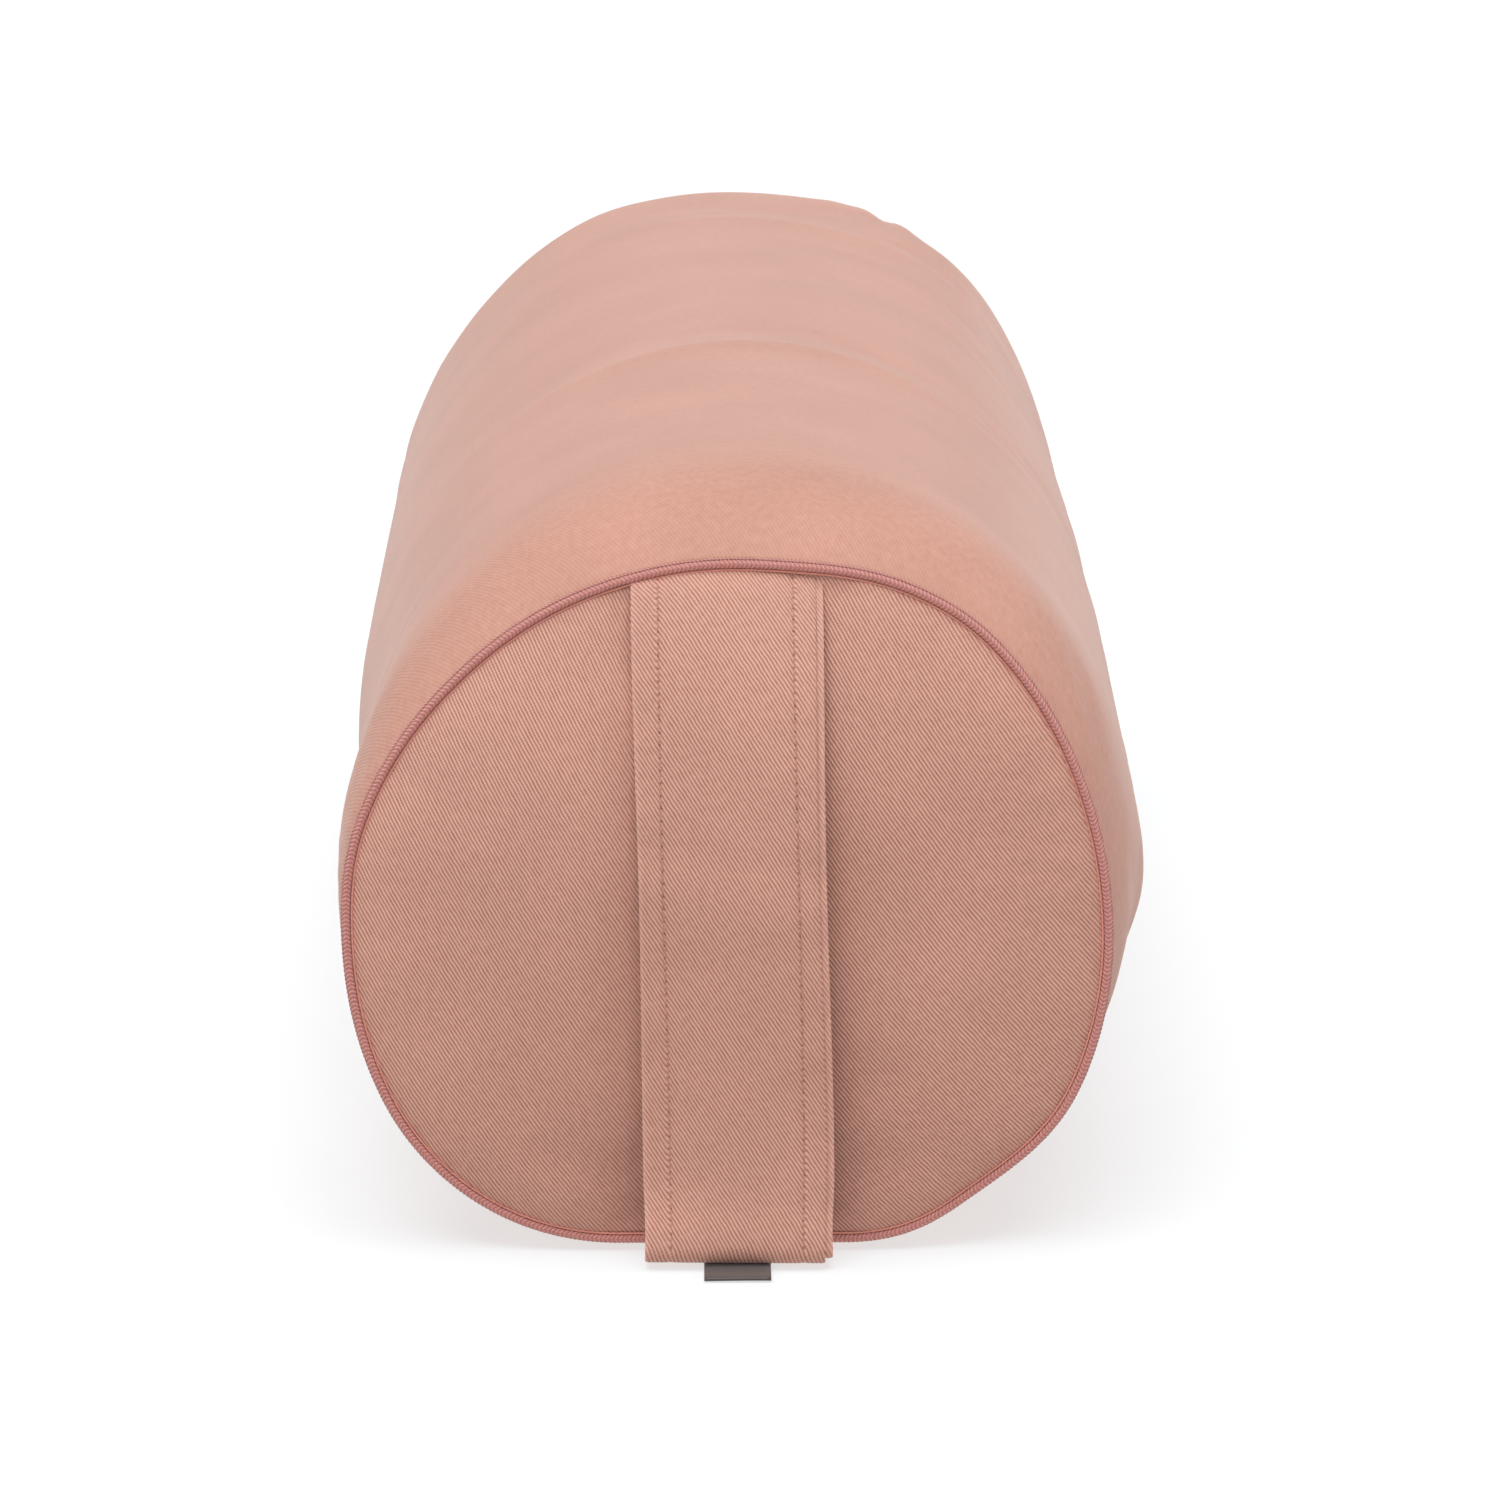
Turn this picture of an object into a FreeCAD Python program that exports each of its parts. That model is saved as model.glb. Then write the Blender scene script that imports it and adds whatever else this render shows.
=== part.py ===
import FreeCAD, Part
import math
import os
from FreeCAD import Vector

# Round yoga and spa bolster, lying on its side with its long axis along Y.
# Millimetres. +Z is up, the floor is Z = 0, and X = 0, Y = 0 is the middle of the flat
# underside. The end that carries the strap faces -Y.
# The cover is a cloth tube with two round end panels. A piped seam joins them. Inside is
# a cotton liner, and inside the liner is a filling of grain hulls.
# The filling settles, so each cross-section is a round top on a narrow flat base.

# Cover, outside sizes.
SEAM_LENGTH = 640.0         # from one piped seam to the other
TUBE_WIDTH = 236.0          # across the tube, away from its ends
TUBE_HEIGHT = 226.0         # from the floor to the top of the tube
SEAM_WIDTH = 221.0          # across the tube at a piped seam
SEAM_HEIGHT = 201.0         # height of the tube at a piped seam
SEAM_LIFT = 4.0             # lowest point of the seam above the floor
TUBE_FLAT = 60.0            # width of the flat underside
SEAM_FLAT = 64.0            # width of the flat at a seam
SHOULDER_LENGTH = 60.0      # the tube swells to its full size over this length
END_CROWN = 12.0            # the end panels bulge this far out of the seam plane
SHOULDER_STATIONS = (0.0, 0.16, 0.36, 0.62, 1.0)    # shares of the shoulder's length
CROWN_SIZES = (1.0, 0.85, 0.66, 0.42, 0.16)         # sections of a crowned end, scaled

# Cloth and what lies under it.
CLOTH = 0.9                 # cotton twill of the cover
RIM_DEPTH = 8.0             # seam allowance of an end panel, turned back into the tube
LINER_CLOTH = 0.5           # cotton cambric of the liner
LINER_SHORT = 11.5          # the liner stops this far short of each piped seam
LINER_SLACK = 3.2           # room between cover and liner, except under the load
FILL_SLACK = 2.2            # room between liner and filling, except under the load
SEAM_GAP = 0.3              # thread space between neighbouring layers

# Piping.
CORD_D = 3.5                # braided cord in the seam
CORD_OUT = 0.75             # middle of the cord outside the seam line
TAPE_THICK = 0.7            # woven tape that holds the cord in the seam
TAPE_DEPTH = 7.0            # how far that tape reaches into the tube

# Carry strap on the front end.
STRAP_WIDTH = 55.0
STRAP_THICK = 3.0           # a folded strip, two double layers
STRAP_ROW_INSET = 7.5       # each stitch row from its edge
# The strap's back, as pairs: height, and distance out of the seam plane.
STRAP_BACK = ((198.5, 1.7), (184.0, 9.5), (160.0, 17.5), (128.0, 22.5), (92.0, 24.0),
              (56.0, 24.5), (30.0, 24.5), (14.0, 22.5), (7.2, 16.5), (6.2, 11.0),
              (8.0, 6.8), (10.2, 4.2))

# Labels.
LABEL_WIDTH = 20.0
LABEL_THICK = 1.0           # ribbon folded double
# Middle of the loop label, as pairs: height, and distance out of the seam plane.
LABEL_MIDDLE = ((5.75, 1.9), (5.05, 3.5), (3.6, 4.7), (2.0, 6.5), (1.1, 9.5),
                (0.8, 14.0), (0.8, 22.0), (0.8, 38.0))
LABEL_X = 2.0               # its middle, a little to the right of the strap's middle
CARE_WIDTH = 25.0
CARE_LENGTH = 50.0
CARE_Y = 150.0              # its near edge
CARE_GAP = 2.0              # from the zip tape
CARE_THICK = 0.3

# Stitches.
THREAD_WIDTH = 0.6
THREAD_HEIGHT = 0.3
STITCH_PITCH = 3.6
STITCH_LENGTH = 2.6
SEAM_STITCH_PITCH = 6.0
SEAM_STITCH_LENGTH = 4.4

# Zips. Heights are measured out from the underside of the tape.
COVER_ZIP = {
    "length": 500.0,        # toothed length
    "angle": -30.0,         # round the tube from +X, negative is downwards
    "opening": 16.0,        # width of the slot in the cloth
    "tape_width": 15.0,
    "tape_thick": 0.6,
    "tape_gap": 1.0,        # each tape from the middle line
    "coil_height": 2.2,
    "coil_reach": 3.0,      # each coil from the middle line
    "pitch": 2.5,
    "slider_width": 10.6,
    "slider_length": 14.0,
    "plate": 1.2,
    "play": 0.25,
    "row": 3.0,             # stitch row from the slot's edge
}
LINER_ZIP = {
    "length": 420.0,
    "angle": 205.0,
    "opening": 13.0,
    "tape_width": 11.0,
    "tape_thick": 0.4,
    "tape_gap": 0.8,
    "coil_height": 1.3,
    "coil_reach": 2.2,
    "pitch": 2.5,
    "slider_width": 8.0,
    "slider_length": 11.0,
    "plate": 0.7,
    "play": 0.2,
    "row": 2.0,
}
TOOTH_SHARE = 0.4           # part of the pitch that one tooth fills
TOOTH_OVERLAP = 0.3         # each tooth crosses the middle line by this part of its reach
SPINE_SHARE = 0.5           # part of the coil's reach that its spine fills
POST_LENGTH = 3.0           # the wedge at the slider's leading end
POST_WIDTH = 1.0
FLANGE = 1.1                # side walls of a slider
SLIDER_CORNER = 2.4
TAPE_OVERRUN = 16.0         # plain tape beyond the teeth at each end
SLOT_OVERRUN = 10.0         # the slot in the cloth beyond the teeth
SLOT_CUT = 5.0              # the slot's cutter reaches this far each way
STOP_LENGTH = 4.0
STOP_HEIGHT_SHARE = 0.8     # of the coil's height
STOP_GAP = 0.5

# Pull of the cover zip.
PULL_LENGTH = 34.0
PULL_WIDTH = 8.0
PULL_THICK = 1.5
PULL_BAR_D = 1.6            # the bar that lies under the slider's bridge
PULL_EYE_LENGTH = 8.0
PULL_EYE_WIDTH = 4.2
PULL_CORNER = 2.4
PULL_BAR_LENGTH = 6.4
BRIDGE_RADIUS = 5.4
BRIDGE_THICK = 1.2
BRIDGE_WIDTH = 3.0
BAR_HEIGHT = 1.25           # middle of the bar above the slider's top plate

FRONT_Y = -SEAM_LENGTH / 2
BACK_Y = SEAM_LENGTH / 2
AXIS_Z = TUBE_HEIGHT - TUBE_WIDTH / 2   # middle of the tube's round top
UP = Vector(0, 0, 1)
ALONG = Vector(0, 1, 0)


def section(y, sizes, gap=0.0, base_gap=0.0, scale=1.0):
    """Closed wire across the bolster at y: a round top, two tighter lower corners and a
    flat base. gap shrinks the top and sides, base_gap raises the base."""
    width, height, flat, lift = sizes
    radius = width / 2 - gap
    centre_z = lift + height - width / 2
    base_z = lift + base_gap
    rise = centre_z - base_z
    half_flat = flat / 2
    corner = (radius ** 2 - rise ** 2 - half_flat ** 2) / (2 * (radius - rise))
    lean = math.atan2(base_z + corner - centre_z, half_flat)
    side_x = radius * math.cos(lean)
    side_z = centre_z + radius * math.sin(lean)
    half_turn = (lean - math.pi / 2) / 2
    low_x = half_flat + corner * math.cos(half_turn)
    low_z = base_z + corner + corner * math.sin(half_turn)
    middle_z = lift + height / 2

    def at(x, z):
        return Vector(x * scale, y, middle_z + (z - middle_z) * scale)

    top = Part.Arc(at(side_x, side_z), at(0, centre_z + radius), at(-side_x, side_z))
    left = Part.Arc(at(-side_x, side_z), at(-low_x, low_z), at(-half_flat, base_z))
    base = Part.LineSegment(at(-half_flat, base_z), at(half_flat, base_z))
    right = Part.Arc(at(half_flat, base_z), at(low_x, low_z), at(side_x, side_z))
    return Part.Wire([edge.toShape() for edge in (top, left, base, right)])


def sizes_at(inward):
    """Width, height, flat and lift of the cover, at a distance in from a seam."""
    swell = 1 - (1 - min(inward / SHOULDER_LENGTH, 1.0)) ** 3
    return (SEAM_WIDTH + swell * (TUBE_WIDTH - SEAM_WIDTH),
            SEAM_HEIGHT + swell * (TUBE_HEIGHT - SEAM_HEIGHT),
            SEAM_FLAT + swell * (TUBE_FLAT - SEAM_FLAT),
            SEAM_LIFT * (1 - swell))


def seam_y(end, inward=0.0):
    """Y of a place at a distance in from a seam. end is 1 at the front, -1 at the back."""
    return (FRONT_Y if end > 0 else BACK_Y) + end * inward


def shoulder(end, gap, base_gap, start):
    """Solid between one end and the straight part of the tube."""
    length = SHOULDER_LENGTH - start
    stations = [start + length * step for step in SHOULDER_STATIONS]
    wires = [section(seam_y(end, s), sizes_at(s), gap, base_gap) for s in stations]
    return Part.makeLoft(wires, True, True)


def straight(gap, base_gap):
    """Solid of the straight part of the tube."""
    wire = section(seam_y(1, SHOULDER_LENGTH), sizes_at(SHOULDER_LENGTH), gap, base_gap)
    return Part.Face(wire).extrude(ALONG * (SEAM_LENGTH - 2 * SHOULDER_LENGTH))


def dome(end, gap, base_gap, start, inset=0.0):
    """Solid of one crowned end, outside the plane at start."""
    wires = []
    for size in CROWN_SIZES:
        y = seam_y(end, start + inset - END_CROWN * (1 - size ** 2))
        wires.append(section(y, sizes_at(start), gap, base_gap, size))
    return Part.makeLoft(wires, True, True)


def join(shapes):
    """One solid from shapes that share faces."""
    return shapes[0].multiFuse(shapes[1:]).removeSplitter()


def cloth_tube(gap, base_gap, cloth, start):
    """Open tube of cloth with its shoulders."""
    outside = [shoulder(1, gap, base_gap, start), straight(gap, base_gap),
               shoulder(-1, gap, base_gap, start)]
    gap += cloth
    base_gap += cloth
    inside = [shoulder(1, gap, base_gap, start), straight(gap, base_gap),
              shoulder(-1, gap, base_gap, start)]
    return join([outer.cut(inner) for outer, inner in zip(outside, inside)])


def cloth_end(end, gap, base_gap, cloth, start):
    """Crowned round of cloth over one end of a tube."""
    return dome(end, gap, base_gap, start).cut(dome(end, gap, base_gap, start, cloth))


def stuffed(gap, base_gap, start):
    """Solid that fills the tube and both crowned ends."""
    return join([dome(1, gap, base_gap, start), shoulder(1, gap, base_gap, start),
                 straight(gap, base_gap), shoulder(-1, gap, base_gap, start),
                 dome(-1, gap, base_gap, start)])


def seam_band(end, inside, thick, depth, first=0.0):
    """Band round a seam. inside is its distance in from the cover's outer face."""
    y = seam_y(end, first)
    outer = section(y, sizes_at(0), inside, inside)
    inner = section(y, sizes_at(0), inside + thick, inside + thick)
    reach = ALONG * (end * depth)
    return Part.Face(outer).extrude(reach).cut(Part.Face(inner).extrude(reach))


def stitch(middle, along, out, length=STITCH_LENGTH):
    """One stitch that lies on a surface at middle. out is the surface's normal."""
    box = Part.makeBox(length, THREAD_WIDTH, THREAD_HEIGHT,
                       Vector(-length / 2, -THREAD_WIDTH / 2, 0))
    side = out.cross(along)
    box.transformShape(FreeCAD.Matrix(along.x, side.x, out.x, middle.x,
                                      along.y, side.y, out.y, middle.y,
                                      along.z, side.z, out.z, middle.z,
                                      0, 0, 0, 1))
    return box


def stitch_ring(end, inside, inward):
    """Stitches round a seam, on the inner face of the turned-back rim."""
    wire = section(seam_y(end, inward), sizes_at(0), inside, inside)
    points = wire.discretize(int(wire.Length / SEAM_STITCH_PITCH) + 1)[:-1]
    stitches = []
    for here, ahead in zip(points, points[1:] + points[:1]):
        along = (ahead - here).normalize()
        middle = (here + ahead) * 0.5
        out = along.cross(ALONG)
        to_axis = Vector(0, middle.y, AXIS_Z) - middle
        if out.dot(to_axis) < 0:
            out = out * -1
        stitches.append(stitch(middle + out * SEAM_GAP, along, out, SEAM_STITCH_LENGTH))
    return Part.makeCompound(stitches)


def bent_strip(middle_pairs, thick, x_from, x_to, from_back):
    """Strip that follows pairs of height and distance out of the front seam plane.
    Returns the solid and its outer curve. from_back puts all the thickness outside."""
    points = [Vector(0, FRONT_Y - out, z) for z, out in middle_pairs]
    curve = Part.BSplineCurve()
    curve.interpolate(points)
    first, last = curve.FirstParameter, curve.LastParameter
    steps = 4 * len(points)
    inner = []
    outer = []
    for i in range(steps + 1):
        at = first + (last - first) * i / steps
        point = curve.value(at)
        outward = curve.tangent(at)[0].cross(Vector(1, 0, 0))
        inner.append(point - outward * (0.0 if from_back else thick / 2))
        outer.append(point + outward * (thick if from_back else thick / 2))
    inner_curve = Part.BSplineCurve()
    inner_curve.interpolate(inner)
    outer_curve = Part.BSplineCurve()
    outer_curve.interpolate(outer)
    ends = [Part.LineSegment(outer[-1], inner[-1]).toShape(),
            Part.LineSegment(inner[0], outer[0]).toShape()]
    wire = Part.Wire([outer_curve.toShape(), ends[0], inner_curve.toShape(), ends[1]])
    strip = Part.Face(wire).extrude(Vector(x_to - x_from, 0, 0))
    strip.translate(Vector(x_from, 0, 0))
    return strip, outer_curve


def row_on_curve(curve, x, margin):
    """Stitches along a curve in the plane X = x."""
    edge = curve.toShape()
    stitches = []
    run = margin
    while run < edge.Length - margin:
        at = edge.getParameterByLength(run)
        along = curve.tangent(at)[0]
        out = along.cross(Vector(1, 0, 0))
        stitches.append(stitch(curve.value(at) + Vector(x, 0, 0), along, out))
        run += STITCH_PITCH
    return stitches


# The zip helpers build on top of the tube, with X across the zip and heights measured
# from AXIS_Z. place() then turns a shape round the tube to the zip's own angle.

def place(shape, zip_spec):
    shape.rotate(Vector(0, 0, AXIS_Z), ALONG, 90 - zip_spec["angle"])
    return shape


def curved_slab(radius, thick, x_from, x_to, y_from, y_to):
    """Slab bent round the tube. X is measured along its outer face, from the top."""
    def at(r, x):
        turn = x / radius
        return Vector(r * math.sin(turn), y_from, AXIS_Z + r * math.cos(turn))

    middle = (x_from + x_to) / 2
    low = radius - thick
    outer = Part.Arc(at(radius, x_from), at(radius, middle), at(radius, x_to))
    inner = Part.Arc(at(low, x_to), at(low, middle), at(low, x_from))
    sides = [Part.LineSegment(at(radius, x_to), at(low, x_to)),
             Part.LineSegment(at(low, x_from), at(radius, x_from))]
    wire = Part.Wire([e.toShape() for e in (outer, sides[0], inner, sides[1])])
    return Part.Face(wire).extrude(ALONG * (y_to - y_from))


def block(x_from, x_to, y_from, y_to, low, high):
    """Box with its heights measured from AXIS_Z."""
    return Part.makeBox(x_to - x_from, y_to - y_from, high - low,
                        Vector(x_from, y_from, AXIS_Z + low))


def rounded_plate(width, y_from, y_to, corner, low, high):
    """Plate with rounded corners, flat on top of the tube."""
    plate = block(-width / 2, width / 2, y_from, y_to, low, high)
    upright = [e for e in plate.Edges if abs(e.tangentAt(e.FirstParameter).z) > 0.5]
    return plate.makeFillet(corner, upright)


def coil(spec, side, under):
    """One toothed coil. side is 1 or -1 across the zip, under is the tape's underside."""
    reach = spec["coil_reach"]
    low = under + spec["tape_thick"]
    tooth = spec["pitch"] * TOOTH_SHARE
    first = -spec["length"] / 2 + (0 if side > 0 else spec["pitch"] / 2)
    spine_x = reach * (1 - SPINE_SHARE)
    tip_x = -reach * TOOTH_OVERLAP
    points = []
    for i in range(int(spec["length"] / spec["pitch"])):
        y = first + i * spec["pitch"]
        points += [(spine_x, y), (tip_x, y), (tip_x, y + tooth), (spine_x, y + tooth)]
    points += [(reach, points[-1][1]), (reach, points[0][1])]
    corners = [Vector(side * x, y, AXIS_Z + low) for x, y in points]
    face = Part.Face(Part.makePolygon(corners + corners[:1]))
    return face.extrude(UP * spec["coil_height"])


def slider_front(spec):
    """Y of the slider's leading end when the zip is closed."""
    return -spec["length"] / 2 - STOP_GAP - POST_LENGTH


def slider(spec, under):
    """Slider body: two plates, side walls and the wedge that joins the plates."""
    front = slider_front(spec)
    back = front + spec["slider_length"]
    half = spec["slider_width"] / 2
    low = under - spec["play"]
    tape_top = under + spec["tape_thick"]
    high = tape_top + spec["coil_height"] + spec["play"]
    width = spec["slider_width"]
    parts = [rounded_plate(width, front, back, SLIDER_CORNER, low - spec["plate"], low),
             rounded_plate(width, front, back, SLIDER_CORNER, high, high + spec["plate"])]
    wall_from = front + SLIDER_CORNER
    wall_to = back - SLIDER_CORNER
    for side in (-1, 1):
        inner, outer = sorted((side * (half - FLANGE), side * half))
        parts.append(block(inner, outer, wall_from, wall_to,
                           tape_top + spec["play"], high))
    parts.append(block(-POST_WIDTH / 2, POST_WIDTH / 2, front + STOP_GAP,
                       front + POST_LENGTH, low, high))
    return parts, high + spec["plate"]


def tube_radius(zip_spec):
    """Outer radius of the cloth that a zip is sewn to."""
    if zip_spec is COVER_ZIP:
        return TUBE_WIDTH / 2
    return TUBE_WIDTH / 2 - CLOTH - LINER_SLACK


def save_zip(prefix, spec, cloth):
    """Tapes, coils, end stops and stitching of one zip. Returns the tape's underside."""
    radius = tube_radius(spec)
    tape_radius = radius - cloth - SEAM_GAP
    under = tape_radius - spec["tape_thick"]
    tape_top = under + spec["tape_thick"]
    half = spec["length"] / 2
    stop_high = tape_top + spec["coil_height"] * STOP_HEIGHT_SHARE
    above = -1 if math.cos(math.radians(spec["angle"])) > 0 else 1
    reach = spec["coil_reach"]
    stops = []
    for side, name in ((above, "upper"), (-above, "lower")):
        x_from, x_to = sorted((side * spec["tape_gap"], side * spec["tape_width"]))
        tape = curved_slab(tape_radius, spec["tape_thick"], x_from, x_to,
                           -half - TAPE_OVERRUN, half + TAPE_OVERRUN)
        save(prefix + "_tape_" + name, place(tape, spec))
        save(prefix + "_coil_" + name, place(coil(spec, side, under), spec))
        x_from, x_to = sorted((side * spec["tape_gap"], side * reach))
        front = slider_front(spec) - STOP_GAP
        stops.append(place(block(x_from, x_to, front - STOP_LENGTH, front,
                                 tape_top, stop_high), spec))
    save(prefix + "_top_stops", Part.makeCompound(stops))
    stop = block(-reach, reach, half + STOP_GAP, half + STOP_GAP + STOP_LENGTH,
                 tape_top, stop_high)
    save(prefix + "_bottom_stop", place(stop, spec))
    rows = []
    row_x = spec["opening"] / 2 + spec["row"]
    row_end = half + SLOT_OVERRUN
    count = int(2 * row_end / STITCH_PITCH)
    for side in (-1, 1):
        turn = side * row_x / radius
        out = Vector(math.sin(turn), 0, math.cos(turn))
        for i in range(count):
            y = -row_end + (i + 0.5) * STITCH_PITCH
            middle = Vector(0, y, AXIS_Z) + out * radius
            rows.append(place(stitch(middle, ALONG, out), spec))
    save(prefix + "_stitching", Part.makeCompound(rows))
    return under


def slot(spec):
    """Cutter for the slot that a zip closes."""
    half = spec["length"] / 2 + SLOT_OVERRUN
    radius = tube_radius(spec)
    cutter = block(-spec["opening"] / 2, spec["opening"] / 2, -half, half,
                   radius - SLOT_CUT, radius + SLOT_CUT)
    return place(cutter, spec)


def save(name, shape):
    shape.exportStep(os.path.join("parts", name + ".step"))


os.makedirs("parts", exist_ok=True)

# Cover: the tube with its zip slot, and the two end panels with turned-back rims.
save("body_panel", cloth_tube(0, 0, CLOTH, 0).cut(slot(COVER_ZIP)))
tape_in = CLOTH + SEAM_GAP
rim_in = tape_in + TAPE_THICK + SEAM_GAP
stitch_in = rim_in + CLOTH
cord_path_gap = -CORD_OUT
for end, name in ((1, "front"), (-1, "rear")):
    rim = seam_band(end, rim_in, CLOTH, RIM_DEPTH)
    save(name + "_end_panel", join([cloth_end(end, 0, 0, CLOTH, 0), rim]))
    save(name + "_piping_tape", seam_band(end, tape_in, TAPE_THICK, TAPE_DEPTH, SEAM_GAP))
    save(name + "_seam_stitching", stitch_ring(end, stitch_in, RIM_DEPTH / 2))
    path = section(seam_y(end, -CORD_D / 2), sizes_at(0), cord_path_gap, cord_path_gap)
    start = path.Edges[0].valueAt(path.Edges[0].FirstParameter)
    tangent = path.Edges[0].tangentAt(path.Edges[0].FirstParameter)
    ring = Part.Wire(Part.Circle(start, tangent, CORD_D / 2).toShape())
    save(name + "_piping_cord", path.makePipeShell([ring], True, True))

# Carry strap, sewn into the front seam at its top and at its bottom.
strap, strap_face = bent_strip(STRAP_BACK, STRAP_THICK, -STRAP_WIDTH / 2,
                               STRAP_WIDTH / 2, True)
save("carry_strap", strap)
strap_row_x = STRAP_WIDTH / 2 - STRAP_ROW_INSET
strap_rows = row_on_curve(strap_face, -strap_row_x, STITCH_PITCH)
strap_rows += row_on_curve(strap_face, strap_row_x, STITCH_PITCH)
save("strap_stitching", Part.makeCompound(strap_rows))

# Labels, both blank.
label = bent_strip(LABEL_MIDDLE, LABEL_THICK, LABEL_X - LABEL_WIDTH / 2,
                   LABEL_X + LABEL_WIDTH / 2, False)[0]
save("loop_label", label)

# Cover zip with its slider and pull, and the care label beside it.
cover_under = save_zip("cover_zip", COVER_ZIP, CLOTH)
slider_parts, plate_top = slider(COVER_ZIP, cover_under)
bridge_y = slider_front(COVER_ZIP) + COVER_ZIP["slider_length"] / 2
bridge_at = Vector(-BRIDGE_WIDTH / 2, bridge_y, AXIS_Z + plate_top)
across = Vector(1, 0, 0)
bridge = Part.makeCylinder(BRIDGE_RADIUS, BRIDGE_WIDTH, bridge_at, across)
bridge = bridge.cut(Part.makeCylinder(BRIDGE_RADIUS - BRIDGE_THICK, BRIDGE_WIDTH,
                                      bridge_at, across))
bridge = bridge.common(block(-BRIDGE_WIDTH, BRIDGE_WIDTH, bridge_y - BRIDGE_RADIUS,
                             bridge_y + BRIDGE_RADIUS, plate_top,
                             plate_top + BRIDGE_RADIUS))
save("cover_zip_slider", place(join(slider_parts + [bridge]), COVER_ZIP))

bar_height = plate_top + BAR_HEIGHT
pull = rounded_plate(PULL_WIDTH, bridge_y, bridge_y + PULL_LENGTH, PULL_CORNER,
                     bar_height - PULL_THICK / 2, bar_height + PULL_THICK / 2)
pull = pull.cut(block(-PULL_EYE_WIDTH / 2, PULL_EYE_WIDTH / 2, bridge_y - PULL_BAR_D,
                      bridge_y + PULL_EYE_LENGTH, bar_height - PULL_THICK,
                      bar_height + PULL_THICK))
bar_at = Vector(-PULL_BAR_LENGTH / 2, bridge_y, AXIS_Z + bar_height)
bar = Part.makeCylinder(PULL_BAR_D / 2, PULL_BAR_LENGTH, bar_at, across)
save("cover_zip_pull", place(join([pull, bar]), COVER_ZIP))

care_from = COVER_ZIP["tape_width"] + CARE_GAP
care_radius = TUBE_WIDTH / 2 - CLOTH - SEAM_GAP
care = curved_slab(care_radius, CARE_THICK, -care_from - CARE_LENGTH, -care_from,
                   CARE_Y, CARE_Y + CARE_WIDTH)
save("care_label", place(care, COVER_ZIP))

# Liner with its own zip. Its slider has no pull, so that it stays shut in use.
liner_gap = CLOTH + LINER_SLACK
liner_base = CLOTH + SEAM_GAP
liner = cloth_tube(liner_gap, liner_base, LINER_CLOTH, LINER_SHORT)
save("liner_tube", liner.cut(slot(LINER_ZIP)))
for end, name in ((1, "front"), (-1, "rear")):
    save("liner_" + name + "_end",
         cloth_end(end, liner_gap, liner_base, LINER_CLOTH, LINER_SHORT))
liner_under = save_zip("liner_zip", LINER_ZIP, LINER_CLOTH)
save("liner_zip_slider", place(join(slider(LINER_ZIP, liner_under)[0]), LINER_ZIP))

# Filling.
fill_gap = liner_gap + LINER_CLOTH + FILL_SLACK
save("hull_filling", stuffed(fill_gap, liner_base + LINER_CLOTH + SEAM_GAP,
                             LINER_SHORT + LINER_CLOTH + FILL_SLACK))
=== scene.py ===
import math

import bpy
import numpy as np
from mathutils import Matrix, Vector


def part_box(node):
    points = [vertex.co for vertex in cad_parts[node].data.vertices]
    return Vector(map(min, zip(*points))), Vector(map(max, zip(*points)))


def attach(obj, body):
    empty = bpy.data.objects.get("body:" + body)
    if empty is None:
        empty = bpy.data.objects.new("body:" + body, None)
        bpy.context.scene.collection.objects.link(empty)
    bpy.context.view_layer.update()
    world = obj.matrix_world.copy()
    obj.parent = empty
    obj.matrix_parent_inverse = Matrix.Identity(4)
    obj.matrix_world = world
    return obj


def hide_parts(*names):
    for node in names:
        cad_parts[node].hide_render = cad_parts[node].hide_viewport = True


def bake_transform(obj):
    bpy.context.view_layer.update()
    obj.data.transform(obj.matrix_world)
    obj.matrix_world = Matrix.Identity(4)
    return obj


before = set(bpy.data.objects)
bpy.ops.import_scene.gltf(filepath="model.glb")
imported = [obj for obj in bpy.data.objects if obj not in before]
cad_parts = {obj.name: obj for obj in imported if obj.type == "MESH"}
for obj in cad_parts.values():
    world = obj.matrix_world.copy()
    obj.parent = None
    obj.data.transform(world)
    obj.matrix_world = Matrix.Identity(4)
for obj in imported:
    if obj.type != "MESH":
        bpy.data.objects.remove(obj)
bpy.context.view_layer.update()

# Round bolster. Metres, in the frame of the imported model: the tube lies along Y, its strap
# end faces -Y, and the floor is Z = 0.

cover_low, cover_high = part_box("body_panel")

MM = 0.001
FRONT_Y = cover_low.y
BACK_Y = cover_high.y
TUBE_WIDTH = cover_high.x - cover_low.x
TUBE_HEIGHT = cover_high.z - cover_low.z

# The cover's cross-section, as the CAD has it.
SEAM_WIDTH = 221 * MM
SEAM_HEIGHT = 201 * MM
SEAM_LIFT = 4 * MM
TUBE_FLAT = 60 * MM
SEAM_FLAT = 64 * MM
SHOULDER = 60 * MM
CROWN = 12 * MM
AXIS_Z = TUBE_HEIGHT - TUBE_WIDTH / 2
SEAM_MID_Z = SEAM_LIFT + SEAM_HEIGHT / 2

CLOTH = 0.9 * MM
TAPE_GAP = 1.2 * MM
TAPE_THICK = 0.7 * MM
RIM_GAP = 2.6 * MM
RIM_DEPTH = 8 * MM
LINER_GAP = 4.1 * MM
LINER_BASE = 1.2 * MM
LINER_CLOTH = 0.5 * MM
LINER_SHORT = 11.5 * MM
FILL_GAP = 6.8 * MM
FILL_BASE = 2.0 * MM
FILL_SHORT = 14.2 * MM

COVER_ZIP_ANGLE = -30.0
COVER_SLOT = (16 * MM, 520 * MM)
LINER_ZIP_ANGLE = 205.0
LINER_SLOT = (13 * MM, 440 * MM)

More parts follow.
